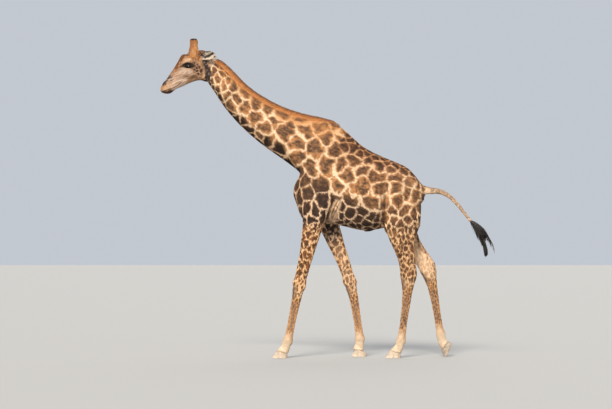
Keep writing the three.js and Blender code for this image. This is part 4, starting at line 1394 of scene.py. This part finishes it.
def finish_hair(name, strands, tints, along, around, material):
    """Turns locks into a piece; their patches on the unwrap are in order along and around."""
    mesh = strand_mesh(name, *strands, tints, bake_places(along, around))
    finish_piece(mesh, name, material)


class SkinSampler:
    """Picks even places on the skin and reads the skin's values there."""

    def __init__(self, surface):
        self.triangles, self.area = surface.triangles()

    def pick(self, density):
        """density is tufts for each square metre at each point of the skin."""
        wanted = np.cumsum(self.area * density[self.triangles].mean(axis=1))
        count = int(wanted[-1])
        ticks = (np.arange(count) + rng.random(count)) * wanted[-1] / count
        self.chosen = self.triangles[np.minimum(np.searchsorted(wanted, ticks), len(wanted) - 1)]
        first, second = rng.random(count), rng.random(count)
        fold = first + second > 1
        first, second = np.where(fold, 1 - first, first), np.where(fold, 1 - second, second)
        self.shares = np.column_stack([1 - first - second, first, second])
        return count

    def value(self, values):
        picked = values[self.chosen]
        shares = self.shares if values.ndim == 1 else self.shares[:, :, None]
        return (picked * shares).sum(axis=1)


def tuft_size(regions):
    """Spacing, length, width and lift of the tufts at each point of the skin."""
    size = np.array([0.0092, 0.0240, 0.0062, 0.0030])
    for mask, values in (
        (regions.part("neck"), (0.0090, 0.0240, 0.0060, 0.0030)),
        (regions.leg_part(0.8, 1.9, 0.3), (0.0078, 0.0200, 0.0052, 0.0026)),
        (regions.leg_part(1.9, 3.0, 0.1), (0.0066, 0.0165, 0.0044, 0.0018)),
        (regions.leg_part(3.0, 5, 0.1), (0.0056, 0.0140, 0.0038, 0.0014)),
        (regions.part("tail"), (0.0070, 0.0220, 0.0048, 0.0024)),
        (smoothstep(0.3, -0.04, regions.along - regions.nape), (0.0038, 0.0120, 0.0017, 0.0008)),
        (regions.part("ear"), (0.0040, 0.0120, 0.0020, 0.0010)),
        (smoothstep(0.16, 0.05, regions.along), (0.0036, 0.0065, 0.0018, 0.0005)),
    ):
        size = mix(size, mask, np.array(values))
    return size


def hairiness(points):
    """0 where no hair grows: round the eyes, in the nostrils and in the mouth; 1 elsewhere."""
    back, up, far = eye_plane(points)
    eye = (np.hypot(back / 0.038, (up - 0.1 * back) / 0.025) < 1) & (far < 0.06)
    mouth = path_distance(points, MOUTH) < 0.0055
    nostril = (path_distance(points, NOSTRIL) < 0.011) & (np.abs(points[:, 0]) > 0.012)
    return np.where(eye | mouth | nostril, 0.0, 1.0)


def coat_pieces(regions):
    """The coat piece that each point of the skin belongs to."""
    areas = {"head": ("head", "lower_jaw", "ear"), "neck": ("neck",), "trunk": ("trunk",)}
    names, owner = ["coat_tail"], np.zeros(len(regions.points), int)
    for area, words in areas.items():
        for side, sign in SIDES.items():
            owner[is_node(regions.nodes, *words) & (regions.side == sign)] = len(names)
            names.append(f"coat_{area}_{side}")
    for leg in LEGS:
        owner[is_node(regions.nodes, leg)] = len(names)
        names.append(f"coat_{leg}")
    return names, owner


def grow_tufts(sampler, surface, density, lie, size):
    """Short tufts over a whole surface, as paths, sides, ups and widths.

    Density, lie and size (length, width and lift) are given at the surface's points."""
    count = sampler.pick(density)
    roots, ups = sampler.value(surface.points), unit(sampler.value(surface.normals))
    ways = unit(sampler.value(lie))
    ways = unit(ways + np.cross(ups, ways) * (rng.normal(size=count) * 0.16)[:, None])
    size = sampler.value(size) * rng.uniform((0.75, 0.8, 0.4), (1.25, 1.2, 1.25), (count, 3))
    length, width, lift = size.T[:, :, None]
    paths = [roots - 0.18 * ups * width,
             roots + 0.42 * ways * length + 0.55 * ups * lift,
             roots + ways * length + ups * lift]
    return np.stack(paths, axis=1), unit(np.cross(ups, ways)), ups, size[:, 1]


def coat_tints(sampler, regions, colours, edge, core, roots):
    """The markings at each tuft's root, ragged and streaked along the lie of the hair."""
    ragged = ripples(roots, 0.012, 71) + ripples(roots, 0.02, 73)
    inside = sampler.value(edge) + 0.022 * sampler.value(regions.spacing) * ragged
    share = smoothstep(-0.003, 0.003, inside) * sampler.value(colours.strength)
    streaks = ripples(sampler.value(regions.flow) * (0.3, 1, 1), 0.018, 72)
    dark = np.clip(sampler.value(core) * (0.85 + 0.4 * streaks), 0, 1)
    tint = mix(sampler.value(colours.patch), dark, sampler.value(colours.core))
    tint = mix(sampler.value(colours.pale), share, tint)
    return tint * rng.uniform(0.88, 1.12, len(tint))[:, None]


def grow_coat(surface, regions, colours, edge, core, material):
    """Tufts all over the skin, cut into pieces by the part of the body that they grow on."""
    sampler = SkinSampler(surface)
    size = tuft_size(regions)
    density = hairiness(surface.points) / size[:, 0] ** 2
    strands = grow_tufts(sampler, surface, density, lie_of_coat(regions), size[:, 1:])
    tints = coat_tints(sampler, regions, colours, edge, core, strands[0][:, 0])
    along, around, _ = sampler.value(regions.flow).T
    names, owner = coat_pieces(regions)
    owner = owner[sampler.chosen[:, 0]]
    for index, name in enumerate(names):
        own = owner == index
        tufts = [values[own] for values in strands]
        finish_hair(name, tufts, tints[own], along[own], around[own], material)


def flow_coordinates(regions):
    """Metres along the lie and round the body, which hair patterns follow."""
    radius = np.linalg.norm(regions.points - regions.centre, axis=1)
    turn = regions.spine.angle(regions.points, regions.centre, regions.forward)
    on_leg = regions.leg_weight > 0.5
    along = np.where(on_leg, regions.stage * 0.7, regions.along)
    around = np.where(on_leg, regions.leg_turn * 0.09, turn * np.minimum(radius, 0.35))
    return np.column_stack([along, around, np.where(on_leg, 3.0, 0.0)])


def make_skin(materials):
    """The one skin that stands for all the flesh nodes, and the coat that grows on it."""
    surface, nodes = smoothed_skin()
    regions = Regions(surface, nodes)
    sculpt_form(surface)
    flatten_sheath(surface)
    bank_up_horns(surface)
    for leg in LEGS:
        sculpt_leg(surface, leg, regions.legs[leg])
    sculpt_muzzle(surface)
    surface.push(-coat_depth(regions))
    for side in SIDES:
        sculpt_eye(surface, side)
    regions.points = surface.points
    regions.flow = flow_coordinates(regions)
    colours = Colours(regions)
    edge, core = marking_values(regions)
    mesh = surface.mesh
    give_colour(mesh, "Pale", colours.pale)
    give_colour(mesh, "Patch", colours.patch)
    give_colour(mesh, "Core", colours.core)
    give_vector(mesh, "Marks", np.column_stack([edge, core, colours.strength]))
    give_vector(mesh, "Flow", regions.flow)
    finish_piece(mesh, "skin", materials["skin"], FLESH_NODES)
    grow_coat(surface, regions, colours, edge, core, materials["tufts"])
    return surface


# ---------------------------------------------------------------- horns
def shape_horn(node):
    """The bony peg without its CAD edges, with how far up and which way round each point lies."""
    low, high = box(node)
    surface = drawn_round([node], 0.0034, 0.0)
    surface.smooth(8)
    surface.soften(20, np.where(surface.points[:, 2] < high.z - 0.02, 1.0, 0.25))
    points = surface.points
    up = (points[:, 2] - low.z) / (high.z - low.z)
    levels = np.linspace(0, 1, 9)
    middles = np.array([np.mean(points[np.abs(up - level) < 0.06], axis=0) for level in levels])
    across, back = (points[:, axis] - np.interp(up, levels, middles[:, axis]) for axis in (0, 1))
    surface.push(0.0022 * ripples(points, 0.03, 91) * smoothstep(0.75, 0.2, up) - 0.0016)
    surface.points = surface.points - np.outer(0.02 * smoothstep(0.28, 0.0, up), (0, 0, 1))
    surface.refresh()
    return surface, points, up, np.arctan2(back, across)


def horn_tint(surface, points, up):
    """Orange skin with brown streaks, darker on the side facing forward as painted shade, with pale
    streaks low down behind as a painted highlight, black hair round the worn top.
    """
    to_front, to_top = -surface.normals[:, 1], surface.normals[:, 2]
    brown = smoothstep(-0.2, 1.2, ripples(points * (1, 1, 0.12), 0.016, 92))
    pale = smoothstep(-0.2, 0.8, ripples(points * (1, 1, 0.2), 0.02, 94)) * smoothstep(0.6, 0.1, up)
    return painted(
        "#bd8049",
        (0.6 * brown, "#84542f"),
        # painted shade on the side that faces forward
        (0.7 * smoothstep(0.3, 0.9, to_front), "#8a5b38"),
        # painted highlight in pale streaks low down behind
        (0.8 * pale * smoothstep(0.8, 0.2, to_front), "#cba27a"),
        (smoothstep(0.86, 0.93, up + 0.012 * ripples(points, 0.02, 93)), "#231c18"),
        (smoothstep(0.7, 0.95, to_top) * smoothstep(0.97, 0.99, up), "#6b5a4c"),
    )


HORN_CROWN = 0.84  # the share of a horn's height where its rim of longer hair starts


def make_horn(side, materials):
    """One ossicone: a skin-covered bony peg with a flat, worn top in a rim of black hair."""
    node = f"ossicone_{side}"
    surface, points, up, turn = shape_horn(node)
    tint = horn_tint(surface, points, up)
    give_colour(surface.mesh, "Tint", tint)
    finish_piece(surface.mesh, f"horn_{side}", materials["horn"], [node])
    spacing = np.where(up > HORN_CROWN, 0.0032, 0.0036)
    size = spacing[:, None] * (3.6, 0.46, 0.25)
    size[:, 2] += np.where(up > HORN_CROWN, 0.0012, 0.0)
    density = ((surface.normals[:, 2] < 0.8) & (up > 0.1)) / spacing**2
    sampler = SkinSampler(surface)
    strands = grow_tufts(sampler, surface, density, square_to(-DOWN, surface.normals), size)
    tints = sampler.value(tint) * rng.uniform(0.85, 1.15, len(strands[0]))[:, None]
    along, around = sampler.value(up), sampler.value(turn)
    finish_hair(f"horn_hair_{side}", strands, tints, along, around, materials["tufts"])


# ---------------------------------------------------------------- hooves
def way_from_sole(points, leg):
    """The way straight out of the sole into the hoof, square to the rings that it grows in."""
    if leg != LIFTED_LEG:
        return np.array([0.0, 0.0, 1.0])
    sole = unit(points[points[:, 1].argmax()] - points[points[:, 2].argmin()])
    return unit(np.array([0.0, -sole[2], sole[1]]))


HOOF_RING = 0.013  # from one grown ring of a hoof to the next


def make_hooves(leg, materials):
    """The two toes of a foot: grown rings, worn edges and flat soles."""
    nodes = [f"{leg}_hoof_outer", f"{leg}_hoof_inner"]
    floor = min(box(node)[0].z for node in nodes)
    top = max(box(node)[1].z for node in nodes)
    surface = drawn_round(nodes, 0.0036, 0.0)
    above_sole = smoothstep(floor + 0.004, floor + 0.02, surface.points[:, 2])
    surface.smooth(6, 0.25 + 0.75 * above_sole)
    surface.soften(10, 0.8 * above_sole)
    points = surface.points
    height = points[:, 2] - floor
    turns = points @ way_from_sole(points, leg) / HOOF_RING
    rings = np.sin(turns * 2 * np.pi + 0.6 * ripples(points, 0.06, 95))
    surface.push(above_sole * (0.0006 * rings + 0.0006 * ripples(points, 0.02, 96) - 0.0008))
    points = surface.points
    rise = smoothstep(0.3 * (top - floor), 0.0, top - points[:, 2])
    points[:, 2] = np.maximum(points[:, 2] + 0.006 * rise, floor)
    surface.refresh()
    layers = [
        (smoothstep(0.045, 0.0, height), "#c9b49c"),
        (0.5 * smoothstep(0.0, 1.2, ripples(points * (1, 1, 0.25), 0.03, 97)), "#857465"),
    ]
    # painted shade: the lifted hoof darker above its sole, as in shadow
    if leg == LIFTED_LEG:
        layers.append((smoothstep(0.02, 0.07, height), "#6b5c50"))
    give_colour(surface.mesh, "Tint", painted("#ac9883", *layers))
    finish_piece(surface.mesh, f"hooves_{leg}", materials["hoof"], nodes)


# ---------------------------------------------------------------- eyes
def make_eye(side, materials):
    """A dark, wet eyeball with a brown iris and a wide level pupil."""
    form = bmesh.new()
    bmesh.ops.create_icosphere(form, subdivisions=5, radius=EYE_RADIUS)
    mesh = bpy.data.meshes.new("eye")
    form.to_mesh(mesh)
    form.free()
    points = read(mesh.vertices, "co", 3)
    outward, back, up = eye_axes(side)
    across, high, front = points @ back, points @ up, points @ outward > 0
    from_axis = np.hypot(across, high)
    cornea = swell(from_axis, EYE_RADIUS * 0.72) * front
    points = points * (1 + 0.05 * cornea)[:, None]
    mesh.vertices.foreach_set("co", (points + EYE[side]).astype(np.float32).ravel())
    give_colour(mesh, "Tint", painted(
        "#3a2a20",
        (smoothstep(0.0175, 0.0155, from_axis) * front, "#2a190e"),
        (0.8 * swell(from_axis - 0.0115, 0.004) * front, "#3b2413"),
        (smoothstep(1.1, 0.92, np.hypot(across / 0.0105, high / 0.0062)) * front, "#07070a"),
    ))
    finish_piece(mesh, f"eyeball_{side}", materials["eye"], [f"eye_{side}"])


def make_lashes(side, skin, materials):
    """Long dark lashes that hang out and down from the upper lid, and short ones below."""
    outward, back, up = eye_axes(side)
    tree = BVHTree.FromPolygons(skin.points.tolist(), skin.triangles()[0].tolist())
    paths, sides, widths = [], [], []
    for lid, count, length, fall in ((1, 120, 0.026, -0.45), (-1, 60, 0.011, -0.1)):
        for _ in range(count):
            share = rng.uniform(-0.95, 0.95)
            place = EYE[side] + back * share * (EYE_HALF_LENGTH + 0.002)
            place = place + up * lid * (EYE_HALF_HEIGHT + 0.0035) * math.sqrt(1 - share**2)
            hit = tree.ray_cast(Vector(place + outward * 0.06), Vector(-outward), 0.1)[0]
            if hit is None:
                continue
            root = np.array(hit) - outward * 0.001
            reach = length * rng.uniform(0.7, 1.1) * (1 - 0.3 * abs(share))
            way = unit(outward + back * (0.45 * share - 0.25) + up * lid * rng.uniform(0.0, 0.25))
            steps = [way * t + up * fall * t * t for t in (0, 0.33, 0.66, 1)]
            paths.append(root + reach * np.array(steps))
            sides.append(unit(np.cross(way, up)))
            widths.append(rng.uniform(0.0011, 0.0016))
    paths, count = np.array(paths), len(paths)
    strands = paths, np.array(sides), np.tile(up, (count, 1)), np.array(widths)
    tints = np.tile(colour("#1b1512"), (count, 1))
    _, along, around = paths[:, 0].T
    finish_hair(f"lashes_{side}", strands, tints, along, around, materials["long"])


# ---------------------------------------------------------------- mane and tassel
def long_locks(roots, ways, ups, length, width, curl, wave, rings, seed):
    """Locks that leave along ways, bend towards ups by curl and wave sideways."""
    share = np.linspace(0, 1, rings + 2)[:, None]
    sides = unit(np.cross(ups, ways))
    random = np.random.default_rng(seed)
    phase = random.uniform(0, 2 * np.pi, (len(roots), 1, 1))
    pace = random.uniform(0.7, 1.5, (len(roots), 1, 1))
    reach = length[:, None, None]
    sway = wave * (np.sin(phase + share * pace * 2 * np.pi) - np.sin(phase))
    bend = ups[:, None] * (curl * share) + sides[:, None] * sway
    return roots[:, None] + (ways[:, None] + bend) * reach * share, sides, ups, width


class Crest:
    """The mane's upper edge as a curve over y, with the way that is straight up from it."""

    def __init__(self, points):
        self.places = np.linspace(points[:, 1].min(), points[:, 1].max(), 70)
        step = self.places[1] - self.places[0]
        heights = [points[np.abs(points[:, 1] - y) <= step, 2].max() for y in self.places]
        for _ in range(3):
            heights = np.convolve(np.pad(heights, 1, mode="edge"), (0.25, 0.5, 0.25), "valid")
        self.heights = heights
        self.slopes = np.gradient(heights, step)

    def below(self, points):
        """Distance under the edge, and the way up."""
        slope = np.interp(points[:, 1], self.places, self.slopes)
        up = unit(np.stack([np.zeros_like(slope), -slope, np.ones_like(slope)], axis=1))
        return (np.interp(points[:, 1], self.places, self.heights) - points[:, 2]) * up[:, 2], up


MANE_SPACING = 0.0062  # from one lock to the next
TASSEL_SPACING = 0.0085
MANE_DEPTH = 0.03  # how far the core's underside goes into the neck
MANE_TINT, MANE_TIP_TINT = "#c98548", "#80502c"


def make_mane_core(materials):
    """The mane's body, sunk into the neck below and towards its front end."""
    surface = drawn_round(["mane"], 0.0046, -0.0022)
    surface.smooth(8)
    surface.soften(10, 0.5)
    points = surface.points
    crest = Crest(points)
    below, up = crest.below(points)
    deepest = [below[np.abs(points[:, 1] - y) < 0.03].max() for y in crest.places]
    from_root = np.interp(points[:, 1], crest.places, deepest) - below
    from_front = points[:, 1] - crest.places[0]
    drop = MANE_DEPTH * smoothstep(0.012, 0.0, from_root)
    drop += 0.022 * smoothstep(0.06, 0.0, from_front)
    drop += 0.05 * smoothstep(0.12, 0.03, from_front) * smoothstep(0.0, 0.03, below)
    surface.points = points - up * drop[:, None]
    surface.refresh()
    surface.push(0.001 * ripples(points, 0.02, 101) - 0.004 * smoothstep(0.05, 0.0, below))
    tint = painted(MANE_TINT, (smoothstep(0.045, 0.008, below), MANE_TIP_TINT))
    # the core darkened to 0.8 of its tint, painted shade under the locks
    give_colour(surface.mesh, "Tint", tint * 0.8)
    finish_piece(surface.mesh, "mane_core", materials["mane"], ["mane"])
    return surface, crest, below > -0.01


def make_mane(materials):
    """A short upright mane: a core with locks over it that stand up and lean back."""
    surface, crest, hairy = make_mane_core(materials)
    sampler = SkinSampler(surface)
    count = sampler.pick(hairy / MANE_SPACING**2)
    roots = sampler.value(surface.points)
    below, up = crest.below(roots)
    back = np.cross(up, (1.0, 0, 0))
    ways = unit(up + 0.4 * back + rng.normal(size=(count, 3)) * (0.05, 0.12, 0.06))
    room = np.maximum(below, 0) / np.maximum(dot(ways, up), 0.5) + rng.uniform(0.002, 0.011, count)
    length = np.minimum(rng.uniform(0.04, 0.062, count), room + 0.003)
    end = crest.places[-1]
    dying = smoothstep(end - 0.3, end, roots[:, 1])
    ways = unit(ways + 1.6 * dying[:, None] * back)
    ups = square_to(unit(sampler.value(surface.normals) * (1, 0.2, 0.2)), ways)
    length = np.minimum(length * (1 - 0.5 * dying), end + 0.012 - roots[:, 1])
    width = np.minimum(0.0056, 0.0022 + length * 0.07) * rng.uniform(0.8, 1.2, count)
    strands = long_locks(roots - ways * 0.004, ways, ups, length, width, 0.03, 0.02, 2, 102)
    tints = painted(MANE_TINT, (smoothstep(0.05, 0.0, below - 0.5 * length), MANE_TIP_TINT))
    tints = tints * rng.uniform(0.78, 1.22, count)[:, None]
    finish_hair("mane_hair", strands, tints, roots[:, 1], roots[:, 0], materials["mane"])


def tassel_guide(points):
    """The tassel's middle line, from the end of the tail's bone to the ends of its hair."""
    low, high = box("tail_tuft")
    main = points[points[:, 1] < low.y + 0.8 * (high.y - low.y)]
    places = [DOCK]
    for share in (0.84, 0.7, 0.55, 0.4, 0.25, 0.1, 0.02):
        height = low.z + share * (high.z - low.z)
        places.append(np.mean(main[np.abs(main[:, 2] - height) < 0.02], axis=0))
    return Guide(places, (1, 0, 0))


def make_tassel(materials):
    """The black tuft of the tail: a core and long locks that hang and part at their ends."""
    surface = drawn_round(["tail_tuft"], 0.0046, -0.002)
    surface.smooth(10)
    points = surface.points
    guide = tassel_guide(points)
    along, _, forward = guide.locate(points)
    surface.push(0.0015 * ripples(points * (1, 1, 0.3), 0.02, 111) - 0.004)
    black = colour("#231b17")
    give_colour(surface.mesh, "Tint", black * 0.9)
    finish_piece(surface.mesh, "tassel_core", materials["long"], ["tail_tuft"])
    lie = unit(surface.spread(square_to(forward, surface.normals), 10))
    level = np.abs(dot(surface.normals, forward)) < 0.75
    sampler = SkinSampler(surface)
    count = sampler.pick(level / TASSEL_SPACING**2)
    roots, ups = sampler.value(surface.points), unit(sampler.value(surface.normals))
    ways = unit(sampler.value(lie) + rng.normal(size=(count, 3)) * 0.05)
    left = guide.starts[-1] - sampler.value(along)
    length = np.minimum(rng.uniform(0.09, 0.17, count), left * 0.9 + 0.02)
    width = np.minimum(rng.uniform(0.004, 0.0072, count), length * 0.2)
    roots_within = roots - ways * 0.006
    paths, *shape = long_locks(roots_within, ways, ups, length, width, -0.02, 0.035, 4, 112)
    fall = (DOWN - ways * dot(ways, DOWN)[:, None]) * length[:, None]
    share = np.linspace(0, 1, paths.shape[1])[:, None]
    strands = paths + 0.35 * fall[:, None] * share**2, *shape
    tints = black * rng.uniform(0.6, 1.5, count)[:, None]
    around, _, height = roots.T
    finish_hair("tassel_hair", strands, tints, height, around, materials["long"])


materials = make_materials()
skin = make_skin(materials)
for side in SIDES:
    make_horn(side, materials)
    make_eye(side, materials)
    make_lashes(side, skin, materials)
for leg in LEGS:
    make_hooves(leg, materials)
make_mane(materials)
make_tassel(materials)


# ---------------------------------------------------------------- camera, floor and light
CAMERA_DISTANCE = 28.0  # from the middle plane, on the animal's left
CAMERA_ALONG = -0.26  # from the middle of the body towards its head
CAMERA_HEIGHT = 1.35
CAMERA_LENS = 130.4  # millimetres, on a sensor 36 wide
CAMERA_PITCH = math.radians(1.18)


def add_camera():
    data = bpy.data.cameras.new("camera")
    data.lens = CAMERA_LENS
    data.clip_end = 200
    camera = bpy.data.objects.new("camera", data)
    bpy.context.scene.collection.objects.link(camera)
    camera.location = (CAMERA_DISTANCE, CAMERA_ALONG, CAMERA_HEIGHT)
    camera.rotation_euler = (math.pi / 2 + CAMERA_PITCH, 0, math.pi / 2)
    bpy.context.scene.camera = camera


FLOOR_REACH = 400


def add_floor():
    mesh = bpy.data.meshes.new("floor")
    corners = np.array([(-1, -1, 0), (1, -1, 0), (1, 1, 0), (-1, 1, 0)]) * FLOOR_REACH
    mesh.from_pydata(corners.tolist(), [], [(0, 1, 2, 3)])
    shader = Shader("floor", 0.9)
    shader.set(Base_Color=(0.4, 0.385, 0.36, 1))
    mesh.materials.append(shader.material)
    add_object(mesh)


def add_light(name, way, strength, softness, tone):
    """A distant, soft studio light that shines along way; softness is its width in degrees."""
    data = bpy.data.lights.new(name, "SUN")
    data.energy = strength
    data.angle = math.radians(softness)
    data.color = tone
    light = bpy.data.objects.new(name, data)
    light.rotation_euler = Vector(way).to_track_quat("-Z", "Y").to_euler()
    bpy.context.scene.collection.objects.link(light)


def add_surroundings():
    world = bpy.data.worlds.new("studio")
    world.use_nodes = True
    background = world.node_tree.nodes["Background"]
    background.inputs["Color"].default_value = (0.78, 0.83, 0.9, 1)
    background.inputs["Strength"].default_value = 0.7
    bpy.context.scene.world = world
    bpy.context.scene.view_settings.view_transform = "Standard"
    add_light("key", (-1.0, 0.22, -0.66), 4.55, 18, (1.0, 0.95, 0.88))
    add_light("fill", (0.9, -0.2, -0.5), 1.1, 60, (0.93, 0.96, 1.0))


add_camera()
add_floor()
add_surroundings()
